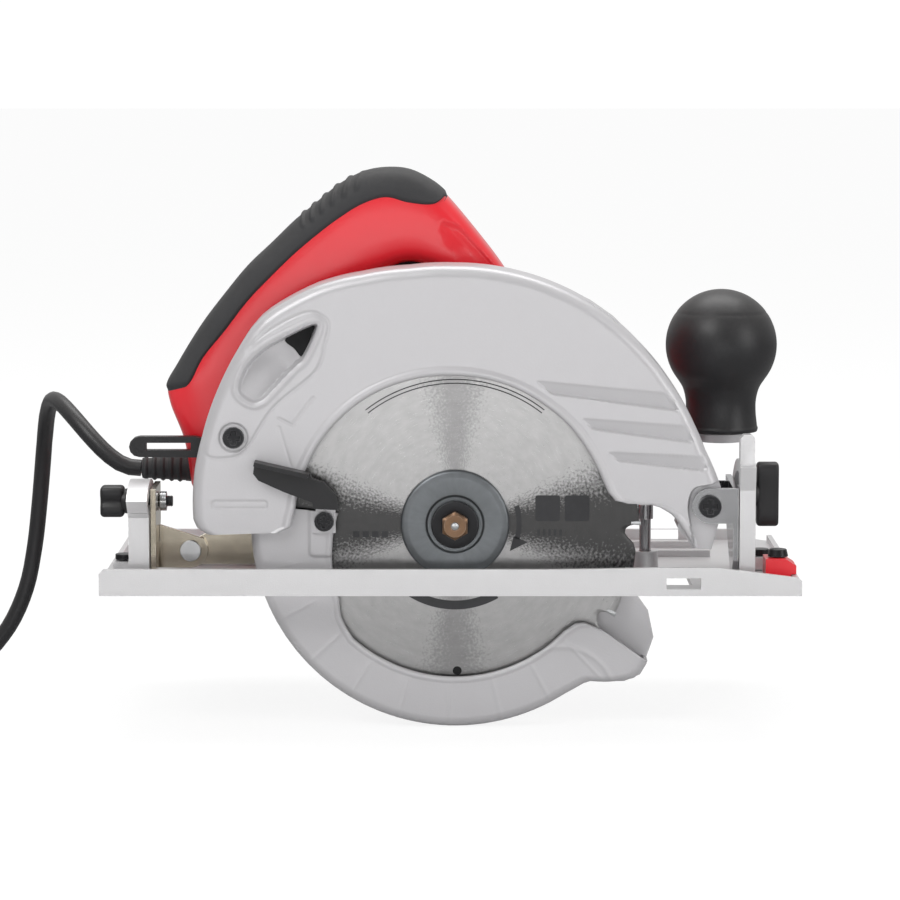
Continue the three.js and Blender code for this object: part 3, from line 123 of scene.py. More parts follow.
class SawSizes(bpy.types.PropertyGroup):
    """Sizes that a maker would change without redrawing a piece."""
    casting_edge: bpy.props.FloatProperty(
        name="Casting edge", description="Rounding of the cast pieces' edges", default=0.0007, unit="LENGTH")
    metal_edge: bpy.props.FloatProperty(
        name="Metal edge", description="Rounding of pressed and turned metal edges", default=0.0003, unit="LENGTH")
    grip_ridge: bpy.props.FloatProperty(
        name="Grip ridge", description="Height of the overgrip's ridges", default=0.0007, unit="LENGTH")
    cord_diameter: bpy.props.FloatProperty(
        name="Cord diameter", description="Outside diameter of the mains lead", default=0.0076, unit="LENGTH")
    blade_thickness: bpy.props.FloatProperty(
        name="Blade thickness", description="Thickness of the blade's plate", default=0.0012, unit="LENGTH")


class SawColours(bpy.types.PropertyGroup):
    """Colours of the main finishes."""
    paint: bpy.props.FloatVectorProperty(
        name="Guard paint", description="Silver-grey paint of the guards", subtype="COLOR", size=3,
        default=(0.53, 0.522, 0.536))
    shell: bpy.props.FloatVectorProperty(
        name="Red nylon", description="Handle and motor shell", subtype="COLOR", size=3, default=(0.78, 0.016, 0.028))
    grip: bpy.props.FloatVectorProperty(
        name="Grip rubber", description="Overgrip and strain relief", subtype="COLOR", size=3,
        default=(0.032, 0.033, 0.036))
    fittings: bpy.props.FloatVectorProperty(
        name="Black nylon", description="Knobs, levers and end cap", subtype="COLOR", size=3,
        default=(0.009, 0.009, 0.011))


# ---- Shapes on grids -----------------------------------------------------------------------------------------

def placed(points):
    """Millimetres in the blade's frame to metres in the model."""
    return (np.asarray(points, float) + BLADE) * MM


def grid_faces(rows, columns, round_rows=False, round_columns=True):
    """Faces of a grid numbered row by row; a side that goes round is joined to its own start."""
    r, c = np.meshgrid(np.arange(rows if round_rows else rows - 1),
                       np.arange(columns if round_columns else columns - 1), indexing="ij")
    r2, c2 = (r + 1) % rows, (c + 1) % columns
    return np.stack([r * columns + c, r2 * columns + c, r2 * columns + c2, r * columns + c2], -1).reshape(-1, 4)


def swung(profile, centre=(0, 0, 0), axis="y", columns=72, start=0.0):
    """A profile of (radius, height) swung round an axis: radius x cosine, radius x sine, and height along it."""
    p = np.asarray(profile, float)
    a = np.linspace(0, TAU, columns, endpoint=False) + start
    u, v = p[:, :1] * np.cos(a), p[:, :1] * np.sin(a)
    h = np.repeat(p[:, 1:2], columns, 1)
    order = {"y": (u, h, v), "x": (h, u, v), "z": (u, v, h)}[axis]
    return np.stack(order, -1) + np.asarray(centre, float)


def rounded(corners, radius, steps=5, closed=True):
    """Each corner gives way to a blend of three points: where its curve starts, the corner, and where it ends."""
    p = np.asarray(corners, float)
    radius = np.broadcast_to(np.asarray(radius, float), (len(p),))

    def towards(q):
        """Where the curve meets the side that runs from each corner to q."""
        d = q - p
        size = np.linalg.norm(d, axis=1, keepdims=True) + 1e-9
        return p + d / size * np.minimum(radius[:, None], 0.46 * size)

    a, b = towards(np.roll(p, 1, 0)), towards(np.roll(p, -1, 0))
    t = np.linspace(0, 1, steps)[None, :, None]
    curve = (1 - t) ** 2 * a[:, None] + 2 * t * (1 - t) * p[:, None] + t * t * b[:, None]
    out = curve.reshape(-1, p.shape[1])
    return out if closed else np.vstack([p[:1], out[steps:-steps], p[-1:]])


def outward(outline):
    """Unit-offset direction at each corner of a closed outline, pointing out of it."""
    p = np.asarray(outline, float)
    d = np.roll(p, -1, 0) - p
    d /= np.linalg.norm(d, axis=1, keepdims=True) + 1e-9
    n = np.stack([d[:, 1], -d[:, 0]], 1)
    area = np.sum(p[:, 0] * np.roll(p[:, 1], -1) - np.roll(p[:, 0], -1) * p[:, 1])
    both = n + np.roll(n, 1, 0)
    both /= np.linalg.norm(both, axis=1, keepdims=True) + 1e-9
    reach = 1 / np.maximum(0.6, np.sum(both * n, 1, keepdims=True))
    return both * reach * (1 if area > 0 else -1)


def soft_plate(outline, low, high, edge=0.5, steps=4, plane="xz"):
    """An outline carried from low to high; near each face it draws in along a quarter circle of size edge."""
    p, n = np.asarray(outline, float), outward(outline)
    a = np.linspace(0, math.pi / 2, steps)
    draw = np.concatenate([edge * (1 - np.sin(a)), edge * (1 - np.cos(a))])
    height = np.concatenate([low + edge * (1 - np.cos(a)), high - edge * (1 - np.sin(a))])
    flat = p[None] - n[None] * draw[:, None, None]
    h = np.broadcast_to(height[:, None], flat.shape[:2])
    u, v = flat[..., 0], flat[..., 1]
    return np.stack({"xz": (u, h, v), "yz": (h, u, v), "xy": (u, v, h)}[plane], -1)


def curve_through(points, count, closed=False):
    """A smooth curve through points, by their running length, sampled evenly (cubic blends between neighbours)."""
    p = np.asarray(points, float)
    if closed:
        p = np.vstack([p[-2:], p, p[:3]])
    step = np.sqrt(np.linalg.norm(np.diff(p, axis=0), axis=1))
    t = np.concatenate([[0], np.cumsum(step)])
    slope = np.gradient(p, t, axis=0)
    first, last = (t[2], t[-3]) if closed else (t[0], t[-1])
    fine = np.linspace(first, last, count * 6 + 1)
    i = np.clip(np.searchsorted(t, fine, side="right") - 1, 0, len(t) - 2)
    w = t[i + 1] - t[i]
    s = ((fine - t[i]) / w)[:, None]
    w = w[:, None]
    q = ((2 * s ** 3 - 3 * s ** 2 + 1) * p[i] + (s ** 3 - 2 * s ** 2 + s) * w * slope[i]
         + (3 * s ** 2 - 2 * s ** 3) * p[i + 1] + (s ** 3 - s ** 2) * w * slope[i + 1])
    run = np.concatenate([[0], np.cumsum(np.linalg.norm(np.diff(q, axis=0), axis=1))])
    at = np.linspace(0, run[-1], count, endpoint=not closed)
    return np.stack([np.interp(at, run, q[:, k]) for k in range(p.shape[1])], 1)


def tube_along(path, radius, columns=16, steady=(0.6, -0.5, 0.62)):
    """A circle of the given radius carried square to a path; its start direction is steady x path."""
    p = np.asarray(path, float)
    along = np.gradient(p, axis=0)
    along /= np.linalg.norm(along, axis=1, keepdims=True)
    side = np.cross(along, steady)
    side /= np.linalg.norm(side, axis=1, keepdims=True)
    up = np.cross(side, along)
    a = np.linspace(0, TAU, columns, endpoint=False)
    r = np.broadcast_to(np.asarray(radius, float), (len(p),))[:, None, None]
    return p[:, None] + r * (np.cos(a)[None, :, None] * side[:, None] + np.sin(a)[None, :, None] * up[:, None])


def away_from(outline, x, z):
    """Signed distance of points from a closed outline: negative inside, by the nearest side and its crossings."""
    p = np.asarray(outline, float)
    q = np.roll(p, -1, 0)
    x, z = np.asarray(x, float)[..., None], np.asarray(z, float)[..., None]
    d = q - p
    s = np.clip(((x - p[:, 0]) * d[:, 0] + (z - p[:, 1]) * d[:, 1]) / (d ** 2).sum(1), 0, 1)
    gap = np.hypot(x - p[:, 0] - s * d[:, 0], z - p[:, 1] - s * d[:, 1]).min(-1)
    crosses = ((p[:, 1] > z) != (q[:, 1] > z)) & (x < (z - p[:, 1]) * d[:, 0] / (d[:, 1] + 1e-12) + p[:, 0])
    return np.where(crosses.sum(-1) % 2 == 1, -gap, gap)


def line_gap(points, x, z):
    """Distance of points from an open line of straight stretches."""
    p = np.asarray(points, float)
    d = np.diff(p, axis=0)
    p = p[:-1]
    x, z = np.asarray(x, float)[..., None], np.asarray(z, float)[..., None]
    s = np.clip(((x - p[:, 0]) * d[:, 0] + (z - p[:, 1]) * d[:, 1]) / (d ** 2).sum(1), 0, 1)
    return np.hypot(x - p[:, 0] - s * d[:, 0], z - p[:, 1] - s * d[:, 1]).min(-1)


def ramp(value, low, high):
    """0 below low, 1 above high, and a smooth s between."""
    t = np.clip((np.asarray(value, float) - low) / (high - low), 0, 1)
    return t * t * (3 - 2 * t)


def squared(value, power=0.5):
    """A power of a sine or cosine that keeps its sign; below 1 it squares a circle up."""
    return np.sign(value) * np.abs(value) ** power


def arc_points(r, start, end, count, x=0.0, z=0.0):
    """Points on a circle between two angles in degrees."""
    a = np.radians(np.linspace(start, end, count))
    return np.stack([x + r * np.cos(a), z + r * np.sin(a)], 1)


# ---- Meshes and objects --------------------------------------------------------------------------------------

def tidy_mesh(bm, mesh, sharp):
    """Close seams and poles, point the faces outwards, and shade smooth except across sharp edges."""
    bmesh.ops.remove_doubles(bm, verts=bm.verts, dist=2e-6)
    bmesh.ops.recalc_face_normals(bm, faces=bm.faces)
    bm.to_mesh(mesh)
    bm.free()
    mesh.shade_smooth()
    mesh.set_sharp_from_angle(angle=math.radians(sharp))


def attach(piece, body, finish, stands_for=()):
    """Give a piece its finish and slot and the body it moves with (none for one that blends), and hide the nodes it
    stands for.
    """
    bpy.context.scene.collection.objects.link(piece)
    piece.data.materials.clear()
    piece.data.materials.append(FINISHES[finish])
    if body:
        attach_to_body(piece, body)
    if stands_for:
        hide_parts(*stands_for)
    return piece


def piece_from(name, parts, body, finish, stands_for=(), sharp=40, metres=False):
    """One object from surfaces. Each part is (grid, rows go round, caps) with points as rows x columns x 3."""
    bm = bmesh.new()
    mesh = bpy.data.meshes.new(name)
    points, faces, base = [], [], 0
    for grid, round_rows, caps in parts:
        rows, columns = grid.shape[:2]
        faces += (grid_faces(rows, columns, round_rows) + base).tolist()
        if caps:
            faces.append((base + np.arange(columns)).tolist())
            faces.append((base + (rows - 1) * columns + np.arange(columns)).tolist())
        points.append(grid.reshape(-1, 3))
        base += rows * columns
    at = np.vstack(points)
    mesh.from_pydata((at if metres else placed(at)).tolist(), [], faces)
    bm.from_mesh(mesh)
    tidy_mesh(bm, mesh, sharp)
    return attach(bpy.data.objects.new(name, mesh), body, finish, stands_for)


def capped(grid):
    """An open grid whose first and last rows are closed by a face each."""
    return (grid, False, True)


def closed_ring(grid):
    """A grid whose last row is joined to its first."""
    return (grid, True, False)


def poled(grid):
    """An open grid whose first and last rows already meet in a point."""
    return (grid, False, False)


def softened(node, name, finish, edge, segments=2, keep_beyond=None, sharp=32):
    """A copy of a node with its doubles merged, its flats made whole and a rounded edge all over.

    keep_beyond=(axis, at) keeps only what lies beyond a plane square to that axis, in millimetres of the blade's
    frame, and closes the cut.
    """
    source = bpy.data.objects[node]
    mesh = source.data.copy()
    mesh.name = name
    bm = bmesh.new()
    bm.from_mesh(mesh)
    bmesh.ops.remove_doubles(bm, verts=bm.verts, dist=2e-6)
    if keep_beyond:
        axis, at = keep_beyond
        point, normal = [0, 0, 0], [0, 0, 0]
        point[axis] = (at + BLADE[axis]) * MM
        normal[axis] = 1
        cut = bmesh.ops.bisect_plane(bm, geom=bm.verts[:] + bm.edges[:] + bm.faces[:], plane_co=point,
                                     plane_no=normal, clear_inner=True, dist=1e-7)
        rim = [e for e in cut["geom_cut"] if isinstance(e, bmesh.types.BMEdge)]
        bmesh.ops.holes_fill(bm, edges=rim, sides=0)
    bmesh.ops.dissolve_limit(bm, angle_limit=math.radians(0.8), verts=bm.verts, edges=bm.edges)
    tidy_mesh(bm, mesh, sharp)
    piece = bpy.data.objects.new(name, mesh)
    attach(piece, body_of(source)[0], finish, (node,))
    bevel = piece.modifiers.new("rounded_edge", "BEVEL")
    bevel.width = edge
    bevel.segments = segments
    bevel.limit_method = "ANGLE"
    bevel.angle_limit = math.radians(sharp)
    bevel.harden_normals = True
    bevel.use_clamp_overlap = True
    return piece


# ---- Finishes ------------------------------------------------------------------------------------------------

FINISHES = {}
GROUPS = {}
TURN_SHARE = 0.05   # a turn of one radian counts as this many metres along a ground ring


def new_group(name, inputs, outputs):
    """An empty node group with float or vector inputs and outputs; returns it with its two end nodes."""
    group = bpy.data.node_groups.new(name, "ShaderNodeTree")
    for label, kind, value in inputs:
        socket = group.interface.new_socket(label, in_out="INPUT", socket_type=kind)
        if value is not None:
            socket.default_value = value
    for label, kind in outputs:
        group.interface.new_socket(label, in_out="OUTPUT", socket_type=kind)
    return group, group.nodes.new("NodeGroupInput"), group.nodes.new("NodeGroupOutput")


def math_node(tree, operation, first, second, clamp=False):
    """A maths node's output; each operand is a number or another node's output."""
    node = tree.nodes.new("ShaderNodeMath")
    node.operation = operation
    node.use_clamp = clamp
    for slot, value in zip(node.inputs, (first, second)):
        if isinstance(value, (int, float)):
            slot.default_value = value
        else:
            tree.links.new(value, slot)
    return node.outputs[0]


def noise(tree, vector, scale, detail=4.0, roughness=0.6):
    """Noise from 0 to 1 at a scale that is a number or a socket."""
    node = tree.nodes.new("ShaderNodeTexNoise")
    node.inputs["Detail"].default_value = detail
    node.inputs["Roughness"].default_value = roughness
    tree.links.new(vector, node.inputs["Vector"])
    if isinstance(scale, (int, float)):
        node.inputs["Scale"].default_value = scale
    else:
        tree.links.new(scale, node.inputs["Scale"])
    return node.outputs["Fac"]


def make_grain_group():
    """Fine even grain, as cast paint or moulded plastic has, and slow cloudy changes of tone."""
    group, start, end = new_group(
        "surface_grain",
        [("Vector", "NodeSocketVector", None), ("Grain Scale", "NodeSocketFloat", 1500.0),
         ("Cloud Scale", "NodeSocketFloat", 35.0)],
        [("Grain", "NodeSocketFloat"), ("Cloud", "NodeSocketFloat")])
    grain = noise(group, start.outputs["Vector"], start.outputs["Grain Scale"], 2.0, 0.5)
    cloud = noise(group, start.outputs["Vector"], start.outputs["Cloud Scale"], 5.0, 0.65)
    group.links.new(grain, end.inputs["Grain"])
    group.links.new(cloud, end.inputs["Cloud"])
    return group


def make_wear_group():
    """Edges rub bright: a rounded normal leaves the true one only near an edge, and noise breaks the mask up."""
    group, start, end = new_group(
        "edge_wear",
        [("Vector", "NodeSocketVector", None), ("Amount", "NodeSocketFloat", 0.5)],
        [("Wear", "NodeSocketFloat")])
    bevel = group.nodes.new("ShaderNodeBevel")
    bevel.samples = 4
    bevel.inputs["Radius"].default_value = 0.0007
    geometry = group.nodes.new("ShaderNodeNewGeometry")
    dot = group.nodes.new("ShaderNodeVectorMath")
    dot.operation = "DOT_PRODUCT"
    group.links.new(bevel.outputs["Normal"], dot.inputs[0])
    group.links.new(geometry.outputs["Normal"], dot.inputs[1])
    edge = math_node(group, "SUBTRACT", 1.0, dot.outputs["Value"], True)
    edge = math_node(group, "MULTIPLY", edge, 9.0, True)
    patches = noise(group, start.outputs["Vector"], 160.0, 4.0, 0.7)
    patches = math_node(group, "SUBTRACT", patches, 0.32)
    patches = math_node(group, "MULTIPLY", patches, 3.0, True)
    wear = math_node(group, "MULTIPLY", edge, patches)
    wear = math_node(group, "MULTIPLY", wear, start.outputs["Amount"], True)
    group.links.new(wear, end.inputs["Wear"])
    return group


def make_dust_group():
    """Fine dust lies on faces that look up, more in some places than in others."""
    group, start, end = new_group(
        "settled_dust",
        [("Vector", "NodeSocketVector", None), ("Amount", "NodeSocketFloat", 0.1)],
        [("Dust", "NodeSocketFloat")])
    geometry = group.nodes.new("ShaderNodeNewGeometry")
    split = group.nodes.new("ShaderNodeSeparateXYZ")
    group.links.new(geometry.outputs["Normal"], split.inputs[0])
    up = math_node(group, "MULTIPLY", split.outputs["Z"], 1.2, True)
    specks = noise(group, start.outputs["Vector"], 420.0, 3.0, 0.75)
    lying = math_node(group, "MULTIPLY", up, specks)
    lying = math_node(group, "ADD", lying, 0.12)
    dust = math_node(group, "MULTIPLY", lying, start.outputs["Amount"], True)
    group.links.new(dust, end.inputs["Dust"])
    return group


def make_brushing_group():
    """Grinding marks: noise squeezed along one direction of a vector whose first two parts run across and along."""
    group, start, end = new_group(
        "grinding_marks",
        [("Vector", "NodeSocketVector", None), ("Across", "NodeSocketFloat", 2600.0),
         ("Along", "NodeSocketFloat", 22.0)],
        [("Marks", "NodeSocketFloat"), ("Bands", "NodeSocketFloat")])
    split = group.nodes.new("ShaderNodeSeparateXYZ")
    join = group.nodes.new("ShaderNodeCombineXYZ")
    group.links.new(start.outputs["Vector"], split.inputs[0])
    group.links.new(math_node(group, "MULTIPLY", split.outputs["X"], start.outputs["Across"]), join.inputs["X"])
    group.links.new(math_node(group, "MULTIPLY", split.outputs["Y"], start.outputs["Along"]), join.inputs["Y"])
    group.links.new(noise(group, join.outputs[0], 1.0, 3.0, 0.6), end.inputs["Marks"])
    slow = group.nodes.new("ShaderNodeCombineXYZ")
    across = math_node(group, "MULTIPLY", start.outputs["Across"], 0.06)
    group.links.new(math_node(group, "MULTIPLY", split.outputs["X"], across), slow.inputs["X"])
    group.links.new(math_node(group, "MULTIPLY", split.outputs["Y"], start.outputs["Along"]), slow.inputs["Y"])
    group.links.new(noise(group, slow.outputs[0], 1.0, 3.0, 0.55), end.inputs["Bands"])
    return group


def make_painted_lobes_group():
    """Painted reflection: the light and dark lobes a ground disc shows under lamps, made of cosines of two and four
    times the angle and broken up by noise.
    """
    group, start, end = new_group(
        "ground_sectors", [("Vector", "NodeSocketVector", None), ("Spread", "NodeSocketFloat", 0.6)],
        [("Dark", "NodeSocketFloat")])
    split = group.nodes.new("ShaderNodeSeparateXYZ")
    group.links.new(start.outputs["Vector"], split.inputs[0])
    turn = math_node(group, "MULTIPLY", split.outputs["Y"], 1 / TURN_SHARE)
    wander = noise(group, start.outputs["Vector"], 900.0, 2.0, 0.5)
    wander = math_node(group, "MULTIPLY", math_node(group, "SUBTRACT", wander, 0.5), 0.5)
    turn = math_node(group, "ADD", turn, wander)
    four = math_node(group, "COSINE", math_node(group, "MULTIPLY", turn, 4.0), 0.0)
    two = math_node(group, "COSINE", math_node(group, "MULTIPLY", turn, 2.0), 0.0)
    both = math_node(group, "ADD", math_node(group, "MULTIPLY", four, 0.6), math_node(group, "MULTIPLY", two, 0.26))
    lifted = math_node(group, "SUBTRACT", both, 0.12)
    dark = math_node(group, "DIVIDE", lifted, start.outputs["Spread"], True)
    group.links.new(dark, end.inputs["Dark"])
    return group


def mix_colour(tree, mask, first, second):
    """The first colour where the mask is 0 and the second where it is 1; each is a tuple or a socket."""
    node = tree.nodes.new("ShaderNodeMix")
    node.data_type = "RGBA"
    tree.links.new(mask, node.inputs["Factor"])
    for slot, value in ((node.inputs[6], first), (node.inputs[7], second)):
        if isinstance(value, tuple):
            slot.default_value = (*value, 1.0)
        else:
            tree.links.new(value, slot)
    return node.outputs[2]


def group_node(tree, group, vector, **values):
    """A node group fed with a vector; values set its other inputs, with _ for a space in their names."""
    node = tree.nodes.new("ShaderNodeGroup")
    node.node_tree = group
    tree.links.new(vector, node.inputs["Vector"])
    for label, value in values.items():
        node.inputs[label.replace("_", " ")].default_value = value
    return node


def around_axis(tree, vector, centre):
    """A vector of the radius from a line along y through centre, and the angle round it times TURN_SHARE."""
    shift = tree.nodes.new("ShaderNodeVectorMath")
    shift.operation = "SUBTRACT"
    tree.links.new(vector, shift.inputs[0])
    shift.inputs[1].default_value = centre
    split = tree.nodes.new("ShaderNodeSeparateXYZ")
    tree.links.new(shift.outputs[0], split.inputs[0])
    x, z = split.outputs["X"], split.outputs["Z"]
    radius = math_node(tree, "SQRT", math_node(
        tree, "ADD", math_node(tree, "MULTIPLY", x, x), math_node(tree, "MULTIPLY", z, z)), 0.0)
    angle = math_node(tree, "MULTIPLY", math_node(tree, "ARCTAN2", z, x), TURN_SHARE)
    join = tree.nodes.new("ShaderNodeCombineXYZ")
    tree.links.new(radius, join.inputs["X"])
    tree.links.new(angle, join.inputs["Y"])
    return join.outputs[0]


def make_finish(name, colour, rough, metal=0.0, grain=0.0, grain_scale=1500.0, cloud=0.06, cloud_scale=35.0,
                wear=0.0, worn=(0.55, 0.55, 0.56), dust=0.0, dust_colour=(0.55, 0.5, 0.43), coat=0.0, marks=0.0,
                round_axis=None, along=22.0, across=2600.0, specular=0.5, spread=0.12, sectors=0.0):
    """A finish: tone and roughness drift slowly, grain or grinding marks stand in relief, edges rub, dust lies, and
    on request painted reflection lobes darken the colour round an axis.
    """
    material = bpy.data.materials.new(name)
    material.use_nodes = True
    tree = material.node_tree
    shader = tree.nodes["Principled BSDF"]
    shader.inputs["Metallic"].default_value = metal
    shader.inputs["Specular IOR Level"].default_value = specular
    shader.inputs["Coat Weight"].default_value = coat
    shader.inputs["Coat Roughness"].default_value = 0.12
    material.diffuse_color = (*colour, 1.0)
    place = tree.nodes.new("ShaderNodeTexCoord").outputs["Object"]
    surface = group_node(tree, GROUPS["grain"], place, Grain_Scale=grain_scale, Cloud_Scale=cloud_scale)
    dark = tuple(c * (1 - cloud) for c in colour)
    light = tuple(min(1.0, c * (1 + cloud)) for c in colour)
    tone = mix_colour(tree, surface.outputs["Cloud"], dark, light)
    roughness = math_node(tree, "MULTIPLY_ADD", surface.outputs["Cloud"], spread)
    roughness.node.inputs[2].default_value = rough - spread / 2
    height, depth = surface.outputs["Grain"], grain
    if marks:
        vector = around_axis(tree, place, round_axis) if round_axis else place
        ground = group_node(tree, GROUPS["brushing"], vector, Across=across, Along=along)
        height, depth = ground.outputs["Marks"], marks
        shade = math_node(tree, "MULTIPLY", ground.outputs["Bands"], 0.9, True)
        tone = mix_colour(tree, shade, tuple(c * 0.72 for c in colour), tone)
        # Painted reflection: the brushed disc's dark and bright lobes are painted into the colour by angle round the
        # axis.
        if sectors:
            painted_lobe_shade = group_node(tree, GROUPS["sectors"], vector).outputs["Dark"]
            painted_lobe_shade = math_node(tree, "MULTIPLY", painted_lobe_shade, sectors)
            tone = mix_colour(tree, painted_lobe_shade, tone, tuple(c * 0.07 for c in colour))
        roughness = math_node(tree, "MULTIPLY_ADD", ground.outputs["Marks"], 0.16)
        roughness.node.inputs[2].default_value = rough - 0.08
    if wear:
        rubbed = group_node(tree, GROUPS["wear"], place, Amount=wear).outputs["Wear"]
        tone = mix_colour(tree, rubbed, tone, worn)
    if dust:
        lying = group_node(tree, GROUPS["dust"], place, Amount=dust).outputs["Dust"]
        tone = mix_colour(tree, lying, tone, dust_colour)
        roughness = math_node(tree, "ADD", roughness, math_node(tree, "MULTIPLY", lying, 0.5), True)
    tree.links.new(tone, shader.inputs["Base Color"])
    tree.links.new(roughness, shader.inputs["Roughness"])
    if depth:
        bump = tree.nodes.new("ShaderNodeBump")
        bump.inputs["Strength"].default_value = 1.0
        bump.inputs["Distance"].default_value = depth * MM
        tree.links.new(height, bump.inputs["Height"])
        tree.links.new(bump.outputs["Normal"], shader.inputs["Normal"])
    FINISHES[name] = material


def make_finishes(colours):
    """Every finish on the saw, from painted castings to the brushes' carbon."""
    GROUPS.update(grain=make_grain_group(), wear=make_wear_group(), dust=make_dust_group(),
                  brushing=make_brushing_group(), sectors=make_painted_lobes_group())
    paint, shell = tuple(colours.paint), tuple(colours.shell)
    grip, fittings = tuple(colours.grip), tuple(colours.fittings)
    axis = tuple(BLADE * MM)
    make_finish("guard_paint", paint, 0.36, 0.25, grain=0.035, grain_scale=1300, cloud=0.03, wear=0.35,
                worn=(0.72, 0.72, 0.73), dust=0.05, spread=0.08)
    make_finish("cover_paint", tuple(c * 0.97 for c in paint), 0.38, 0.25, grain=0.035, grain_scale=1300, cloud=0.04,
                wear=0.3, worn=(0.72, 0.72, 0.73), dust=0.06, spread=0.08)
    make_finish("bare_aluminium", (0.66, 0.655, 0.662), 0.34, 0.5, grain=0.05, grain_scale=1700, cloud=0.07,
                wear=0.5, worn=(0.85, 0.85, 0.86), dust=0.05)
    make_finish("red_nylon", shell, 0.3, grain=0.012, grain_scale=2400, cloud=0.05, wear=0.25,
                worn=(0.75, 0.1, 0.1), dust=0.04, coat=0.15, spread=0.06)
    make_finish("black_nylon", fittings, 0.42, grain=0.03, grain_scale=2200, cloud=0.2, wear=0.3,
                worn=(0.07, 0.07, 0.075), dust=0.05)
    make_finish("grip_rubber", grip, 0.62, grain=0.05, grain_scale=2000, cloud=0.12, wear=0.25,
                worn=(0.12, 0.12, 0.125), dust=0.06, specular=0.35)
    make_finish("lead_jacket", (0.014, 0.014, 0.016), 0.4, grain=0.02, grain_scale=1800, cloud=0.2, dust=0.05)
    make_finish("ground_steel", (0.6, 0.61, 0.62), 0.3, 1.0, marks=0.01, cloud=0.06, wear=0.3,
                worn=(0.85, 0.85, 0.86))
    # The blade's colour carries painted reflection lobes, darkest to the left and right of the hub.
    make_finish("blade_steel", (0.52, 0.515, 0.515), 0.3, 1.0, marks=0.01, cloud=0.05, round_axis=axis, along=150.0,
                across=5200.0, sectors=0.9)
    make_finish("phosphated_steel", (0.235, 0.25, 0.262), 0.42, 0.85, marks=0.012, cloud=0.12, cloud_scale=90,
                round_axis=axis, along=120.0, across=2400.0, wear=0.4, worn=(0.5, 0.5, 0.52))
    make_finish("tinted_steel", (0.25, 0.15, 0.09), 0.42, 0.8, grain=0.03, cloud=0.25, cloud_scale=140, wear=0.6,
                worn=(0.5, 0.42, 0.36))
    make_finish("yellow_plating", (0.58, 0.52, 0.42), 0.16, 1.0, grain=0.01, cloud=0.3, cloud_scale=60, wear=0.8,
                worn=(0.8, 0.78, 0.72))
    make_finish("bright_plating", (0.42, 0.42, 0.43), 0.16, 1.0, grain=0.008, cloud=0.2, wear=1.0,
                worn=(0.9, 0.9, 0.9))
    make_finish("black_oxide", (0.022, 0.022, 0.024), 0.34, 0.7, grain=0.01, cloud=0.2, wear=0.6,
                worn=(0.3, 0.3, 0.31))
    make_finish("enamelled_copper", (0.48, 0.19, 0.08), 0.35, 0.9, marks=0.03, across=900, along=30)
    make_finish("pressed_carbon", (0.02, 0.02, 0.021), 0.7, grain=0.05, grain_scale=3000)
    # Painted shade: a near-black finish for sheets and discs that stand in for openings in shadow.
    make_finish("painted_shade_dark", (0.01, 0.01, 0.011), 0.8, grain=0.05)
    make_finish("blade_print", (0.03, 0.03, 0.033), 0.5, grain=0.01, cloud=0.3, cloud_scale=260)
    make_finish("pale_floor", (0.9, 0.9, 0.9), 0.75, grain=0.05, grain_scale=300, cloud=0.01)


# ---- Stage ---------------------------------------------------------------------------------------------------

def make_floor(scene):
    """A pale floor without edges in view.

    The eye sees mostly a glow, so that the floor melts into the room; polished metal mirrors a darker floor.
    """
    side = np.linspace(-14, 14, 9)
    x, y = np.meshgrid(side, side, indexing="ij")
    grid = np.stack([x, y, np.full_like(x, FLOOR_Z - 0.0003)], -1)
    mesh = bpy.data.meshes.new("floor")
    faces = grid_faces(len(side), len(side), False, False)[:, ::-1]
    mesh.from_pydata(grid.reshape(-1, 3).tolist(), [], faces.tolist())
    mesh.materials.append(FINISHES["pale_floor"])
    tree = FINISHES["pale_floor"].node_tree
    glow = tree.nodes.new("ShaderNodeEmission")
    glow.inputs["Strength"].default_value = 1.06
    blend = tree.nodes.new("ShaderNodeMixShader")
    path = tree.nodes.new("ShaderNodeLightPath")
    shader = tree.nodes["Principled BSDF"]
    pale = shader.inputs["Base Color"].links[0].from_socket
    mirrored = mix_colour(tree, path.outputs["Is Glossy Ray"], pale, (0.3, 0.3, 0.3))
    tree.links.new(mirrored, shader.inputs["Base Color"])
    tree.links.new(math_node(tree, "MULTIPLY", path.outputs["Is Camera Ray"], 0.82), blend.inputs[0])
    tree.links.new(shader.outputs[0], blend.inputs[1])
    tree.links.new(glow.outputs[0], blend.inputs[2])
    tree.links.new(blend.outputs[0], tree.nodes["Material Output"].inputs["Surface"])
    floor = bpy.data.objects.new("floor", mesh)
    scene.collection.objects.link(floor)


def make_room(scene):
    """A room that is white to the eye; as a light it is dimmer in front of the saw than above and beside it."""
    world = bpy.data.worlds.new("white_room")
    scene.world = world
    world.use_nodes = True
    tree = world.node_tree
    background = tree.nodes["Background"]
    background.inputs["Color"].default_value = (1, 1, 1, 1)
    path = tree.nodes.new("ShaderNodeLightPath")
    way = tree.nodes.new("ShaderNodeSeparateXYZ")
    tree.links.new(tree.nodes.new("ShaderNodeTexCoord").outputs["Generated"], way.inputs[0])
    behind = math_node(tree, "MULTIPLY_ADD", way.outputs["Y"], 0.5, True)
    behind.node.inputs[2].default_value = 0.5
    above = math_node(tree, "MULTIPLY", way.outputs["Z"], 0.35, True)
    light = math_node(tree, "MULTIPLY_ADD", behind, 0.5)
    light.node.inputs[2].default_value = 0.1
    light = math_node(tree, "ADD", light, above)
    seen = math_node(tree, "MAXIMUM", light, math_node(tree, "MULTIPLY", path.outputs["Is Camera Ray"], 1.05))
    tree.links.new(seen, background.inputs["Strength"])


def aimed(at, toward):
    """Turn that points an object's -z from one place toward another, with its x level."""
    d = toward - at
    return (math.atan2(math.hypot(d[0], d[1]), -d[2]), 0, math.atan2(-d[0], d[1]))


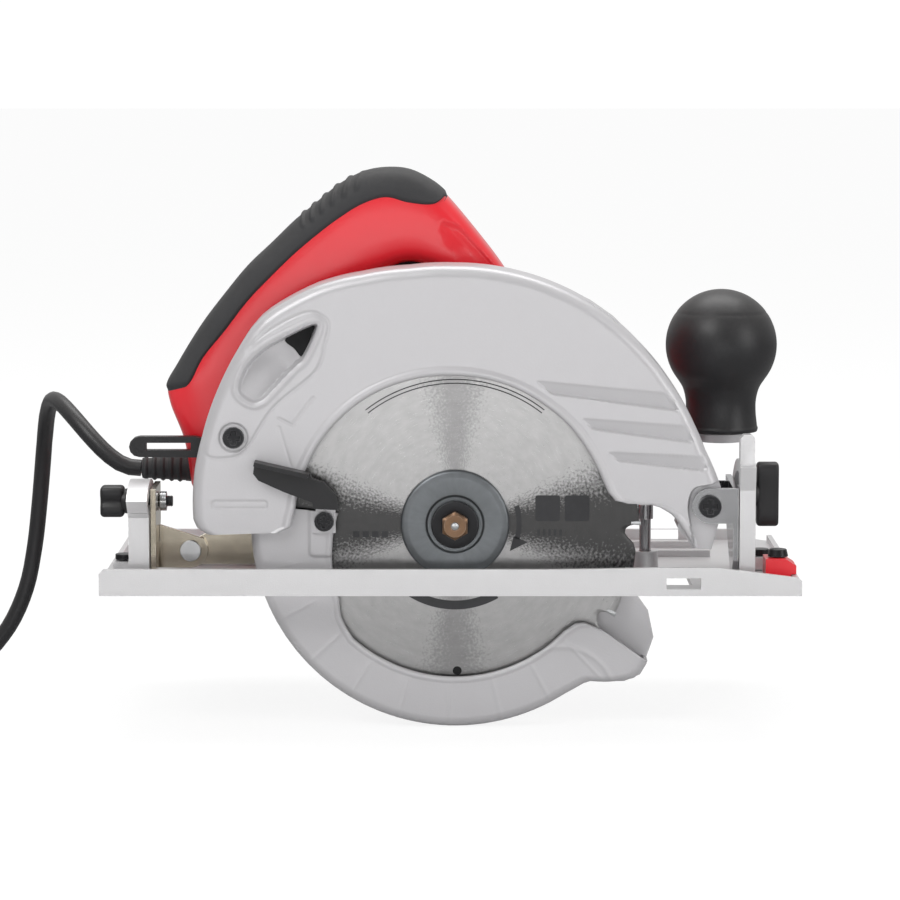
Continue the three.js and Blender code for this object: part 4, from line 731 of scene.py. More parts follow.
LIGHTS = [
    # name, place, what it points at, width and height, watts
    ("key_light", (-0.9, -1.3, 1.35), (0, -0.05, 0.05), (0.9, 0.9), 15),
    ("fill_light", (1.5, -1.1, 0.6), (0, -0.05, 0.05), (0.7, 1.1), 8),
    ("top_light", (0.1, 0.5, 1.6), (0, 0, 0.08), (1.4, 0.8), 14),
    ("low_light", (0.0, -1.9, 0.0), (0, -0.05, 0.03), (1.6, 0.3), 6),
]


def make_lights(scene):
    """Four soft rectangular lights."""
    for name, at, toward, size, power in LIGHTS:
        light = bpy.data.lights.new(name, "AREA")
        light.shape, light.size, light.size_y, light.energy = "RECTANGLE", size[0], size[1], power
        lamp = bpy.data.objects.new(name, light)
        scene.collection.objects.link(lamp)
        at, toward = np.array(at, float), np.array(toward, float)
        lamp.location = at
        lamp.rotation_euler = aimed(at, toward)


def make_camera(scene):
    """A long lens in front of the blade, a little above it and tipped down."""
    camera = bpy.data.cameras.new("camera")
    camera.lens, camera.sensor_width = 145.0, 36.0
    camera.clip_start, camera.clip_end = 0.05, 60
    eye = bpy.data.objects.new("camera", camera)
    scene.collection.objects.link(eye)
    target = np.array([-0.0002, -0.050, 0.0606])
    distance, tilt = 1.6, math.radians(6.5)
    eye.location = target + distance * np.array([0, -math.cos(tilt), math.sin(tilt)])
    eye.rotation_euler = (math.pi / 2 - tilt, 0, 0)
    scene.camera = eye


def make_stage():
    """The floor, the room, the lights and the camera."""
    scene = bpy.context.scene
    scene.view_settings.view_transform = "Standard"
    for make in (make_floor, make_room, make_lights, make_camera):
        make(scene)


# ---- Cord ----------------------------------------------------------------------------------------------------

def lead_route(diameter):
    """Centre line of the lead in metres: out of the relief, down to the floor, round the coil, and to the plug."""
    free = np.array([
        [-142.3, 44, 19.4], [-146, 44, 19.5], [-152, 44.2, 21.6], [-159, 45.4, 26.8], [-166, 48.4, 33.6],
        [-173.5, 54.8, 41], [-180.6, 65, 46.6], [-186, 78, 47], [-189.6, 90, 40], [-192, 99, 28], [-194, 104.5, 12],
        [-196, 107, -6], [-198.6, 108, -26], [-203, 108, -46], [-212, 108, -65], [-225, 108, -79],
        [-240, 108, -85], [-256, 108, -86.2], [-270.4, 108, -86.2], [-286, 108, -86.2], [-302, 108, -86.2]])
    free = curve_through(free, 190)
    low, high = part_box("cord_coil")
    centre = (np.array(low) + np.array(high)) / 2 / MM
    d = diameter / MM
    per_layer, steps = 5, 48
    widest = 62.0
    narrowest = widest - (per_layer - 1) * d
    floor = low[2] / MM + d / 2

    # Each turn keeps one radius and one height, and passes to the next over its last part.
    radii = [widest - d * k for k in range(per_layer)] + [narrowest + d * k for k in range(per_layer)]
    radii += [widest - 2 * d, narrowest]
    heights = [floor] * per_layer + [floor + d] * per_layer + [floor + 2 * d] * 2
    turns = len(radii)
    turn = np.repeat(np.arange(turns), steps)
    part = np.tile(np.arange(steps) / steps, turns)
    pass_over = ramp(part, 0.72, 1.0)
    radii, heights = np.array(radii + [narrowest]), np.array(heights + [floor + 2 * d])
    r = radii[turn] + (radii[turn + 1] - radii[turn]) * pass_over
    h = heights[turn] + (heights[turn + 1] - heights[turn]) * pass_over
    angle = math.pi / 2 + TAU * (turn + part)
    coil = np.stack([centre[0] + r * np.cos(angle), centre[1] + r * np.sin(angle), h], -1)

    # The tail stays on the narrowest turn while it climbs, and runs straight into the plug's sleeve.
    plug_low, plug_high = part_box("mains_plug")
    sleeve = np.array([plug_high[0] / MM, centre[1] + 31.0, (plug_low[2] + plug_high[2]) / 2 / MM])
    climb = np.linspace(0, 1, 44)
    a = math.pi / 2 + TAU * 0.94 * climb
    tail = np.stack([centre[0] + narrowest * np.cos(a), centre[1] + narrowest * np.sin(a),
                     heights[-1] + (sleeve[2] - heights[-1]) * ramp(climb, 0.45, 1.0)], -1)
    run_in = np.stack([np.linspace(centre[0] + 11.2, sleeve[0] - 3, 4), np.full(4, sleeve[1] + 0.3),
                       np.full(4, sleeve[2])], -1)
    whole = np.vstack([free[:-1] + BLADE, coil, tail, run_in])
    run = np.concatenate([[0], np.cumsum(np.linalg.norm(np.diff(whole, axis=0), axis=1))])
    keep = np.concatenate([[True], np.diff(run) > 0.05])
    whole, run = whole[keep], run[keep]
    at = np.linspace(0, run[-1], 760)
    return np.stack([np.interp(at, run, whole[:, k]) for k in range(3)], 1) * MM


def make_cord(sizes):
    """The lead, its tapered relief, the tie round the coil, and the plug."""
    route = lead_route(sizes.cord_diameter)
    lead = piece_from("mains_lead", [capped(tube_along(route, sizes.cord_diameter / 2, 14))], None,
                      "lead_jacket", sharp=60, metres=True)

    # The relief is a run of beads that grow thinner toward its tip.
    x = np.linspace(0, 1, 150)
    bead = 0.55 * np.clip(np.cos(TAU * 6.5 * x), -0.4, 1) * (x > 0.2) * (x < 0.97)
    radius = 6.2 - 1.6 * x + bead - 1.2 * ramp(x, 0.985, 1.0)
    low, high = edges_of("strain_relief")
    along = high[0] - 8 - x * (high[0] - 8 - low[0])
    tip = np.array([[0, high[0]], [5.2, high[0]], [6.3, high[0] - 1.2], [6.3, high[0] - 7]])
    profile = np.vstack([tip, np.stack([radius, along], 1), [[3.0, low[0]], [0, low[0]]]])
    middle = (low + high) / 2
    relief = piece_from("strain_relief_boot", [poled(swung(profile, (0, middle[1], middle[2]), "x", 40))], "saw_body",
                        "grip_rubber", ("strain_relief",), sharp=50)

    # The tie is a strap with rounded edges over the coil's turns.
    low, high = edges_of("cord_tie")
    span = rounded([[low[0], low[2]], [low[0], high[2]], [high[0], high[2]], [high[0], low[2]],
                    [high[0] - 1.2, low[2]], [high[0] - 1.2, high[2] - 1.2], [low[0] + 1.2, high[2] - 1.2],
                    [low[0] + 1.2, low[2]]], 1.0, 4)
    tie = piece_from("coil_tie", [capped(soft_plate(span, low[1], high[1], 0.3))], "bevel_bracket", "black_nylon",
                     ("cord_tie",))

    # The plug: a body drawn in at its waist, a ribbed sleeve, and two round pins.
    low, high = edges_of("mains_plug")
    z, y = (low[2] + high[2]) / 2, (low[1] + high[1]) / 2
    x0, x1 = low[0] + 18.0, high[0] - 30.0
    t = np.linspace(0, 1, 40)[:, None]
    a = np.linspace(0, TAU, 56, endpoint=False)[None]
    swell = (1 - 0.16 * np.sin(math.pi * np.clip((t - 0.25) / 0.6, 0, 1)) ** 2) * (1 - ramp(t, 0.88, 1.0) * 0.35)
    swell = swell * np.sqrt(np.clip(1 - (1 - np.clip(t / 0.06, 0, 1)) ** 2, 0.6, 1))
    body = np.stack([x0 + (x1 - x0) * t + 0 * a,
                     y + 14 * swell * squared(np.cos(a), 0.62), z + 11 * swell * squared(np.sin(a), 0.62)], -1)
    s = np.linspace(0, 1, 90)
    sleeve_r = 5.6 - 1.3 * s + 0.35 * np.sign(np.sin(TAU * 7 * s)) * (s > 0.1) * (s < 0.93)
    sleeve = np.vstack([np.stack([sleeve_r, x1 - 2 + s * 31.7], 1), [[0, high[0]]]])
    sleeve = np.vstack([[[0, x1 - 2]], sleeve])
    plug = piece_from("plug_body", [capped(body), poled(swung(sleeve, (0, y, z), "x", 32))], "bevel_bracket",
                      "black_nylon", ("mains_plug",), sharp=50)
    pin = rounded([[0, low[0]], [2.4, low[0]], [2.4, x0 + 2], [0, x0 + 2]], [0, 1.6, 0, 0], 6, False)
    pins = piece_from("plug_pins", [poled(swung(pin, (0, y + side * 9.5, z), "x", 28)) for side in (-1, 1)],
                      "bevel_bracket", "bright_plating")
    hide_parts("cord", "cord_coil")
    coil_side = tuple((np.array([-238.0, 108.0, -85.0]) + BLADE) * MM)
    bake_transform(lead, "bevel_bracket", "saw_body", start=coil_side, end=tuple(route[8]))


# ---- Upper guard ---------------------------------------------------------------------------------------------

# Angle in degrees and radius of the guard's window rim and outer edge, and of the cover's inner and outer edge.
WINDOW_RIM = np.array([
    [-5.4, 105.5], [-0.6, 100], [1.2, 98], [3.3, 95.2], [5.4, 90.4], [6.7, 85.6], [7.7, 76.2], [9.3, 71.2],
    [12.6, 68.9], [17, 68], [27, 67.2], [42, 66.9], [53, 66.4], [81, 66.4], [90, 66.5], [107, 67.5], [125, 68.8],
    [136, 69.3], [149, 70], [173.5, 70.5], [180, 72], [181.9, 77]])
GUARD_EDGE = np.array([
    [-5.4, 113.4], [0, 115.5], [8.3, 118.2], [16.9, 115], [23, 114.3], [34, 113.9], [45, 113.9], [58, 114.6],
    [80, 114.5], [90, 114.5], [100, 115.3], [110, 118], [114.6, 119.9], [119.5, 121.8], [124.7, 123.2],
    [130, 124.6], [132.7, 125], [136.3, 124.4], [140.6, 122.9], [145, 121.6], [151, 120], [156.7, 118.7],
    [160, 118], [167.7, 117.1], [172.6, 116.3], [178.5, 115.3], [180.4, 113.6], [181.9, 109.5]])
OUTLET = [[-60, 89.5], [-60.5, 86], [-65, 76], [-67, 73], [-70, 70.5], [-80, 60], [-84, 56], [-88, 54.5], [-93, 57],
          [-95, 60], [-92, 70], [-85, 77.5], [-75, 83.5]]
LOUVRES = [([35, 64.5], [92, 59], [98.5, 51], [42, 58.5]), ([55, 48], [101.5, 44.5], [105, 37], [60, 43]),
           ([66.5, 33.2], [109.5, 31], [110.5, 24.5], [71, 29])]


def swept_guard(node, r, depth, angle, sink, body, finish, edge, cut, sharp):
    """A guard's near face, swept round the blade's axis, and behind the plane at cut its engineering form.

    r and depth are one closed section per angle in degrees; sink(x, z) tells how much deeper each place lies.
    """
    a = np.radians(angle)[None]
    x, z = r * np.cos(a), r * np.sin(a)
    grid = np.stack([x, depth + sink(x, z), z], -1).transpose(1, 0, 2)
    face = piece_from(node + "_face", [capped(grid)], body, finish, sharp=sharp)
    softened(node, node + "_back", finish, edge, keep_beyond=(1, cut))
    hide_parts(node)


def guard_relief(x, z):
    """How far the guard's near face is sunk (+) or stands up (-) at each place, in millimetres."""
    sunk = np.zeros_like(x)
    for a, b, c, d in LOUVRES:
        inside = ramp(-away_from(rounded([a, b, c, d], 1.6, 5), x, z), 0.0, 0.45)
        upper, lower = line_gap([a, b], x, z), line_gap([d, c], x, z)
        sunk += inside * (0.25 + 1.35 * upper / (upper + lower + 1e-6))
    outlet = away_from(curve_through(OUTLET, 90, closed=True), x, z)
    reach = ramp(x * 0.62 + z * 0.78, -16, 12)
    sunk += ramp(-outlet, 0.0, 1.5) * (2.2 + 5.6 * reach)
    sunk -= 0.45 * np.exp(-((outlet - 1.6) / 0.9) ** 2)
    panel = curve_through([[-109, 31.5], [-95, 31.5], [-90.5, 36], [-80, 52], [-60, 70], [-57, 80], [-55.5, 90],
                           [-62, 94.5], [-80, 87], [-96.5, 72], [-105, 55], [-110, 40]], 120, closed=True)
    edge = away_from(panel, x, z)
    sunk += 0.3 * np.exp(-(edge / 0.5) ** 2) - 0.18 * ramp(-edge, 0.0, 0.8)
    for line in ([[-77, 48], [-71, 45], [-62, 57]], [[-77, 44], [-72, 27]]):
        sunk += 0.22 * np.exp(-(line_gap(line, x, z) / 0.5) ** 2)
    frame_gap = away_from(rounded([[-106.5, 8], [-82.5, 8], [-82.5, 11.5], [-106.5, 11.5]], 1.2, 5), x, z)
    sunk += 0.28 * np.exp(-((frame_gap + 0.2) / 0.35) ** 2) + 0.12 * ramp(-frame_gap, 0, 0.4)
    screw_seat = np.hypot(x + 97, z - 39.5)
    sunk += 0.5 * ramp(6.6 - screw_seat, 0, 0.5)
    ear = away_from(rounded([[104.6, -20], [130, -20], [130, 27], [112, 18.6], [104, 17.9], [101.5, 9], [104, -4]],
                            [1, 1, 1, 3, 5, 5, 3], 6), x, z)
    sunk += 4.7 * ramp(-ear, 0.0, 0.9)
    return sunk


def make_upper_guard(sizes):
    """The near face is swept round the blade's axis: radius and depth follow one closed section at every angle."""
    angle = np.concatenate([np.linspace(-5.4, 12, 110), np.linspace(12.35, 121.6, 300), np.linspace(121.9, 156, 170),
                            np.linspace(156.3, 181.9, 90)])
    inner = np.interp(angle, *WINDOW_RIM.T)[None]
    outer = np.interp(angle, *GUARD_EDGE.T)[None]
    ease = np.clip((outer - inner) / 15, 0.45, 1)
    bead = np.array([[3.4, -9.6], [0.5, -9.7], [0, -10.4], [0, -11.6], [0.25, -12.5], [0.9, -13.15], [1.8, -13.35],
                     [2.8, -13.2], [3.5, -12.85], [4.2, -12.62]])
    face = np.linspace(0, 1, 92)[1:-1]
    rounding, shoulder, lining = 5.2, -7.4, -9.6
    turn = np.radians(np.linspace(90, 0, 10))
    corner = np.stack([-rounding + rounding * np.cos(turn), shoulder - rounding * np.sin(turn)], 1)
    flank = np.array([[0.05, -5], [0.12, 0], [0.18, 6], [0.2, 12], [0.1, 14.8], [-0.4, 15.25], [-2.6, 15.25],
                      [-3, 14.8], [-3.1, 8], [-3.1, 0], [-3.2, -5.4], [-4.2, -8.4], [-6, -9.55]])
    back = np.linspace(1, 0, 34)[1:-1]
    span = outer - inner - 9.4 * ease
    r = np.vstack([inner + bead[:, :1] * ease, inner + 4.2 * ease + face[:, None] * span,
                   outer + corner[:, :1] * ease, outer + flank[:, :1], inner + 3.4 * ease + back[:, None] * span])
    depth = np.concatenate([bead[:, 1], np.full(len(face), -12.6), corner[:, 1], flank[:, 1],
                            np.full(len(back), lining)])[:, None]
    # The relief fades out round the corner; the bead takes a little more of it, and the lining follows the face.
    weight = np.clip((shoulder - depth) / rounding, 0, 1)
    weight = np.where(np.isclose(depth, lining), 1.0, weight)
    low_side = np.arange(len(depth))[:, None] < len(bead)
    weight = np.where(low_side, np.clip(weight * 1.2, 0, 1), weight)
    swept_guard("upper_guard", r, depth, angle, lambda x, z: guard_relief(x, z) * weight, "saw_body", "guard_paint",
                sizes.casting_edge * 0.6, -7.0, 55)

    # Painted shade: a dark sheet sits in the dust outlet's opening, where one would look into shadow.
    shaded_opening = curve_through([[-61.5, 88], [-62.5, 85], [-67.3, 74.6], [-70.5, 78], [-74.5, 81.6], [-70, 85.5]], 40,
                           closed=True)
    piece_from("outlet_painted_shade", [capped(soft_plate(shaded_opening, -6.2, -4.6, 0.2))], "saw_body", "painted_shade_dark")


# ---- Lower guard ---------------------------------------------------------------------------------------------

COVER_INNER = np.array([[174, 51.7], [190, 54.8], [212.9, 60.7], [219, 64.7], [228, 67.4], [306, 67.4], [315.6, 67.2],
                        [320.5, 68.6], [322.9, 71.5], [324.4, 79]])
COVER_OUTER = np.array([[174, 90], [303, 90], [308.8, 91], [310.6, 92.2], [313.5, 97], [317, 102.2], [319.2, 104.9],
                        [321.5, 105.6], [324.4, 104.9]])


def cover_relief(x, z):
    """How far the cover's near face stands up at each place, in millimetres: the bar boss, fine ribs, the chute."""
    r = np.hypot(x, z)
    degrees = np.degrees(np.arctan2(z, x)) % 360
    boss = away_from(rounded([[-64.5, -14], [-50.5, -14], [-50.5, 9.5], [-64.5, 9.5]], 3, 6), x, z)
    raised = 0.75 * ramp(-boss, -0.2, 0.9)
    ribs = np.exp(-(((degrees - 6) % 15.0 - 7.5) * r / 57.3 / 0.8) ** 2) * ramp(r, 68, 74)
    chute = 1.1 * np.exp(-((np.hypot(x - 47, z + 78) - 24) / 1.2) ** 2) * (degrees > 300)
    return raised + 0.16 * ribs + 0.25 * chute


def make_lower_guard(sizes):
    """The cover's near wall and rim: one closed section of radius and depth at each angle, from heel to chute."""
    angle = np.concatenate([np.linspace(174, 219, 120), np.linspace(219.4, 300, 180),
                            np.linspace(300.3, 324.4, 90)])
    inner = np.interp(angle, *COVER_INNER.T)[None]
    outer = np.interp(angle, *COVER_OUTER.T)[None]
    lip = np.array([[2.6, -6.6], [0.3, -6.65], [0, -7.1], [0.2, -7.8], [0.8, -8.25], [1.7, -8.35], [2.6, -8.1]])
    face = np.linspace(0, 1, 44)[1:-1]
    rounding, shoulder, lining = 4.2, -3.8, -6.6
    turn = np.radians(np.linspace(90, 0, 9))
    corner = np.stack([-rounding + rounding * np.cos(turn), shoulder - rounding * np.sin(turn)], 1)
    flank = np.array([[0.1, -1], [0.15, 3], [0.15, 7.4], [-0.2, 8.15], [-1.4, 8.15], [-1.8, 7.6], [-1.8, 2],
                      [-1.8, -3.4], [-2.8, -5.6], [-4.4, -6.55]])
    back = np.linspace(1, 0, 20)[1:-1]
    span = outer - inner - 6.8
    r = np.vstack([inner + lip[:, :1], inner + 2.6 + face[:, None] * span, outer + corner[:, :1],
                   outer + flank[:, :1], inner + 2.6 + back[:, None] * span])
    depth = np.concatenate([lip[:, 1], np.full(len(face), -8.0), corner[:, 1], flank[:, 1],
                            np.full(len(back), lining)])[:, None]
    on_face = np.clip((shoulder - depth) / rounding, 0, 1) * (depth < -6.9)
    swept_guard("lower_guard", r, depth, angle, lambda x, z: -on_face * cover_relief(x, z), "lower_guard",
                "cover_paint", sizes.casting_edge * 0.5, -4.5, 50)


# ---- Blade set -----------------------------------------------------------------------------------------------

TEETH = 24
PITCH = TAU / TEETH
BORE_R = 10.0


def make_blade(sizes):
    """The plate's edge repeats one tooth: the radius falls into a gullet behind each tip and climbs to the next."""
    low, high = edges_of("blade")
    r_tip = (high[0] - low[0]) / 2
    half = sizes.blade_thickness / MM / 2
    a = np.linspace(0, TAU, TEETH * 44, endpoint=False)
    u = (a / PITCH) % 1.0
    edge = np.interp(u, [0, 0.02, 0.05, 0.42, 0.58, 0.68, 0.78, 0.88, 0.95, 0.985, 1.0],
                     [r_tip - 0.5, r_tip - 0.9, r_tip - 1.0, r_tip - 1.6, r_tip - 3.0, r_tip - 5.6, r_tip - 7.2,
                      r_tip - 7.0, r_tip - 5.4, r_tip - 1.6, r_tip - 0.5])
    # The plate starts under the flanges, and its rim is broken by a small chamfer on both faces.
    share = np.array([0.12, 0.3, 0.5, 0.7, 0.86, 0.96, 0.992, 1.0])[:, None]
    ring = BORE_R + share * (edge[None] - BORE_R)
    side = np.array([-half] * 7 + [-half + 0.12])[:, None]
    near = np.stack([ring * np.cos(a), np.broadcast_to(side, ring.shape), ring * np.sin(a)], -1)
    far = near[::-1] * np.array([1, -1, 1])
    piece_from("saw_blade", [closed_ring(np.vstack([near, far]))], "arbor", "blade_steel",
               ("blade",), sharp=35)

    # One carbide tip is a small tapered block; the rest are the same block turned about the axis.
    tip = np.array([[r_tip, 0], [r_tip - 4.6, 0.25], [r_tip - 4.6, 1.6], [r_tip - 0.6, 2.1]])
    block = soft_plate(tip, -0.85, 0.85, 0.15, 3)
    turns = np.arange(TEETH) * PITCH - 0.01
    c, s = np.cos(turns)[:, None, None], np.sin(turns)[:, None, None]
    x, y, z = block[..., 0][None], block[..., 1][None], block[..., 2][None]
    tips = np.stack([x * c - z * s, np.broadcast_to(y, (TEETH,) + block.shape[:2]), x * s + z * c], -1)
    piece_from("carbide_tips", [capped(t) for t in tips], "arbor", "ground_steel")

    # Printed marks: a curved arrow for the way it turns, two blank panels, a size bar, and rows of ticks.
    skin = -half - 0.03

    def mark(outline):
        """One flat printed mark that stands a hair proud of the plate."""
        return capped(soft_plate(outline, skin, -half + 0.05, 0.02, 2))

    sweep = np.vstack([arc_points(29.5, 16, -14, 12), arc_points(27.2, -14, 16, 12)])
    head = np.array([[26.0, -5.6], [32.2, -8.4], [24.2, -12.4]])
    prints = [mark(sweep), mark(head)]
    for x0 in (35.5, 48.5):
        prints.append(mark(rounded([[x0, 1.0], [x0 + 11, 1.0], [x0 + 11, 12.5], [x0, 12.5]], 1.2, 4)))
    ticks = [(36.5 + 2.4 * i, 37.7 + 2.4 * i, -5.5, -2.6) for i in range(5)]
    ticks += [(-45.0 + 4.2 * i, -42.2 + 4.2 * i, -6.2, -3.4) for i in range(4)]
    for x0, x1, z0, z1 in ticks:
        prints.append(mark(np.array([[x0, z0], [x1, z0], [x1, z1], [x0, z1]])))
    bar = np.vstack([arc_points(38.5, 236, 300, 40), arc_points(34.5, 300, 236, 40)])
    prints.append(mark(bar))
    for radius in (62.5, 64.2):
        prints.append(mark(np.vstack([arc_points(radius, 52, 128, 60), arc_points(radius - 0.5, 128, 52, 60)])))
    piece_from("blade_prints", prints, "arbor", "blade_print")
    # Painted shade: the balance hole is a dark disc through the plate, standing in for the shade inside the hole.
    hole = rounded([[0, -half - 0.02], [2.0, -half - 0.02], [2.0, half + 0.02], [0, half + 0.02]],
                   [0, 0.01, 0.01, 0], 2, False)
    piece_from("balance_hole", [poled(swung(hole, (1, 0, -66), "y", 24))], "arbor", "painted_shade_dark")


def make_flanges():
    """Turned flanges, the washer and the bolt's head, each a profile swung about the blade's axis."""
    low, high = edges_of("outer_flange")
    f, r = low[1], (high[0] - low[0]) / 2
    profile = rounded([[4.4, f + 1.0], [12.3, f + 1.0], [13.0, f + 0.05], [r - 3.2, f + 0.0], [r - 0.8, f + 0.5],
                       [r, f + 1.4], [r, high[1]], [4.4, high[1]]], 0.5, 4)
    piece_from("outer_flange_turned", [closed_ring(swung(profile, columns=128))], "arbor", "phosphated_steel",
               ("outer_flange",), sharp=50)
    low, high = edges_of("blade_washer")
    profile = rounded([[4.4, low[1]], [10.2, low[1]], [10.5, low[1] + 0.3], [10.5, high[1]], [4.4, high[1]]], 0.25, 4)
    piece_from("bolt_washer", [closed_ring(swung(profile, columns=72))], "arbor", "black_oxide",
               ("blade_washer",))
    low, high = edges_of("blade_bolt")
    face, flats = low[1], 11.0
    a = np.linspace(0, TAU, 96, endpoint=False)
    hexagon = flats / 2 / np.cos((a + math.pi / 6) % (math.pi / 3) - math.pi / 6)
    # Share of the head's size and depth behind its face: the middle rows are round, the outer ones six-sided.
    rows = [(0.0, 0.55), (0.30, 0.55), (0.34, 0.1), (0.62, 0.0), (0.88, 0.0), (1.0, 0.75), (1.0, 4.3), (0.97, 4.6),
            (0.0, 4.6)]
    reach = np.stack([hexagon * s if s > 0.9 else np.full_like(a, flats / 2 * s) for s, _ in rows])
    grid = np.stack([reach * np.cos(a), np.repeat([[face + d] for _, d in rows], len(a), 1), reach * np.sin(a)], -1)
    shank = rounded([[0, face + 4], [4, face + 4], [4, high[1]], [0, high[1]]], [0, 0.1, 0.8, 0], 4, False)
    piece_from("hex_bolt", [poled(grid), poled(swung(shank, columns=32))], "arbor", "tinted_steel",
               ("blade_bolt",), sharp=28)
    dimple = rounded([[0, face + 0.45], [1.7, face + 0.45], [1.7, face + 1], [0, face + 1]],
                     [0, 0.2, 0.1, 0], 3, False)
    piece_from("bolt_centre", [poled(swung(dimple, columns=28))], "arbor", "ground_steel")


# ---- Handle --------------------------------------------------------------------------------------------------

HANDLE_EDGE = [
    [-119, 12], [-122.2, 33], [-128.5, 50], [-129.4, 57.8], [-124, 68], [-113, 85.5], [-102.7, 98.9], [-92.4, 111.2],
    [-82, 121], [-71.9, 130.8], [-61.6, 139.5], [-51.3, 147.7], [-41, 152.9], [-30.8, 154.7], [-20.5, 153.8],
    [-10.2, 148.7], [-4.6, 144.1], [10, 127], [23.2, 109.2], [33, 90], [35, 70], [28, 52], [20, 44], [-8, 26],
    [-46, 22], [-50, 8], [-112, 8]]
HAND_OPENING = [[-12, 112], [-24, 113], [-44, 99.5], [-63, 81.5], [-81, 58], [-84, 46], [-76, 39], [-60, 42],
                [-40, 61], [-28, 70], [-14, 76], [2, 82], [8, 92], [2, 103]]
RUBBER_EDGE = [[-4, 143.5], [-9.2, 139.9], [-20.5, 140.4], [-30.8, 142.8], [-41, 139.9], [-51.3, 133.7],
               [-61.6, 126], [-71.9, 117.3], [-82, 107.5], [-92.4, 96.7], [-102.7, 83.4], [-113, 70.6],
               [-118, 60.9], [-121, 57.3], [-125.2, 56.2]]
PALM = np.array([-38.0, 80.0])
HANDLE_Y, HANDLE_WIDTH = 44.0, 36.0


def reach_to(outline, angles):
    """Distance from the palm's centre, along each angle, to the far crossing with an outline."""
    p = np.asarray(outline, float) - PALM
    q = np.roll(p, -1, 0)
    c, s = np.cos(angles)[:, None], np.sin(angles)[:, None]
    u0, v0 = p[:, 0] * c + p[:, 1] * s, -p[:, 0] * s + p[:, 1] * c
    u1, v1 = q[:, 0] * c + q[:, 1] * s, -q[:, 0] * s + q[:, 1] * c
    crosses = (v0 > 0) != (v1 > 0)
    u = u0 - v0 * (u1 - u0) / np.where(np.abs(v1 - v0) < 1e-12, 1e-12, v1 - v0)
    return np.where(crosses & (u > 0), u, 0).max(1)


def handle_rings(angles):
    """Inner and outer radius of the handle about the palm's centre, kept clear of the motor's round shell."""
    edge = curve_through(HANDLE_EDGE[:20], 240)
    outer = reach_to(np.vstack([edge, HANDLE_EDGE[20:]]), angles)
    inner = reach_to(curve_through(HAND_OPENING, 200, closed=True), angles)
    low, high = edges_of("motor_housing")
    m = np.array([(low[0] + high[0]) / 2, (low[2] + high[2]) / 2]) - PALM
    r = (high[0] - low[0]) / 2 + 0.6
    along = m[0] * np.cos(angles) + m[1] * np.sin(angles)
    off = m @ m - along ** 2
    meets = (off < r * r) & (along > 0)
    near = along - np.sqrt(np.clip(r * r - off, 0, None))
    return inner, np.where(meets, np.minimum(outer, near), outer)


def section(inner, outer, t, lift=0.0):
    """Radius about the palm and y of a squared-up oblong between two radii, lift millimetres proud of them."""
    middle, half = (inner + outer)[:, None] / 2, (outer - inner)[:, None] / 2
    return (middle + (half + lift) * squared(np.cos(t)),
            HANDLE_Y + (HANDLE_WIDTH / 2 + lift) * squared(np.sin(t)) * np.ones_like(middle))


def about_palm(rho, y, angles):
    """Points of a section carried round the palm, one row to an angle."""
    return np.stack([PALM[0] + rho * np.cos(angles)[:, None], y, PALM[1] + rho * np.sin(angles)[:, None]], -1)


def make_handle(sizes):
    """The shell is a rounded oblong carried round the palm; the overgrip lies 1 mm above its upper part."""
    even = np.linspace(0, TAU, 88, endpoint=False)
    near_seam = np.array([0.004, 0.012, 0.03])
    t = np.sort(np.concatenate([even, near_seam, TAU - near_seam, math.pi - near_seam, math.pi + near_seam]))
    angles = np.linspace(0, TAU, 420, endpoint=False)
    inner, outer = handle_rings(angles)
    rho, y = section(inner, outer, t)
    seam = np.exp(-((y - HANDLE_Y) / 0.35) ** 2) * 0.45
    rho = rho - seam * np.sign(np.cos(t))[None]
    grid = about_palm(rho, y, angles)
    # A flat facet is pressed into both sides of the front pillar.
    pillar = rounded([[-8, 133], [2, 131], [19, 112], [27, 92], [30, 72], [20, 76], [12, 96], [4, 112]], 4, 6)
    facet = away_from(pillar, grid[..., 0], grid[..., 2])
    press = 1.3 * ramp(-facet, 0.0, 2.2)
    grid[..., 1] -= np.sign(y - HANDLE_Y) * press * (np.abs(y - HANDLE_Y) > 6)
    piece_from("handle_shell", [closed_ring(grid)], "saw_body", "red_nylon",
               ("handle_right_half", "handle_left_half"), sharp=60)

    start = math.atan2(144.1 - PALM[1], -2.5 - PALM[0])
    stop = math.atan2(55.5 - PALM[1], -128.5 - PALM[0]) + TAU
    angles = np.linspace(start, stop, 360)
    inner, outer = handle_rings(angles)
    lower = reach_to(np.vstack([curve_through(RUBBER_EDGE, 120), [PALM + [-90, -40], PALM, PALM + [30, 50]]]), angles)
    middle, half = (inner + outer) / 2, (outer - inner) / 2
    q = np.clip((lower - middle) / half, -0.98, 0.98)
    limit = np.arccos(np.clip(squared(q, 2.0), -1, 1))
    s = np.linspace(-1, 1, 110)
    t = limit[:, None] * s[None]
    run = (angles - start) / (stop - start)
    near_end = np.minimum(run, 1 - run)[:, None] * 360
    proud = 1.0 * ramp(1 - np.abs(s), 0, 0.035)[None] * ramp(near_end, 0, 5)
    length = run[:, None] * 215.0
    wave = np.clip(np.sin(TAU * (length + 2.2 * np.cos(np.sin(t) * 3)) / 8.4), -0.2, 1)
    ridge = (sizes.grip_ridge / MM) * wave * ramp(length, 48, 56) * ramp(100 - length, 0, 8)
    ridge = ridge * ramp(0.8 - np.abs(s), 0, 0.15)[None]
    # The rubber's outer skin stands proud of the shell and its inner one lies sunk in it.
    skin = about_palm(*section(inner, outer, t, proud + ridge - 0.05), angles)
    sunk = about_palm(*section(inner, outer, t, -0.9), angles)
    loop = np.concatenate([skin, sunk[:, ::-1]], 1)
    piece_from("overgrip_rubber", [capped(loop)], "saw_body", "grip_rubber", ("handle_overgrip",),
               sharp=50)


# ---- Ball handle ---------------------------------------------------------------------------------------------

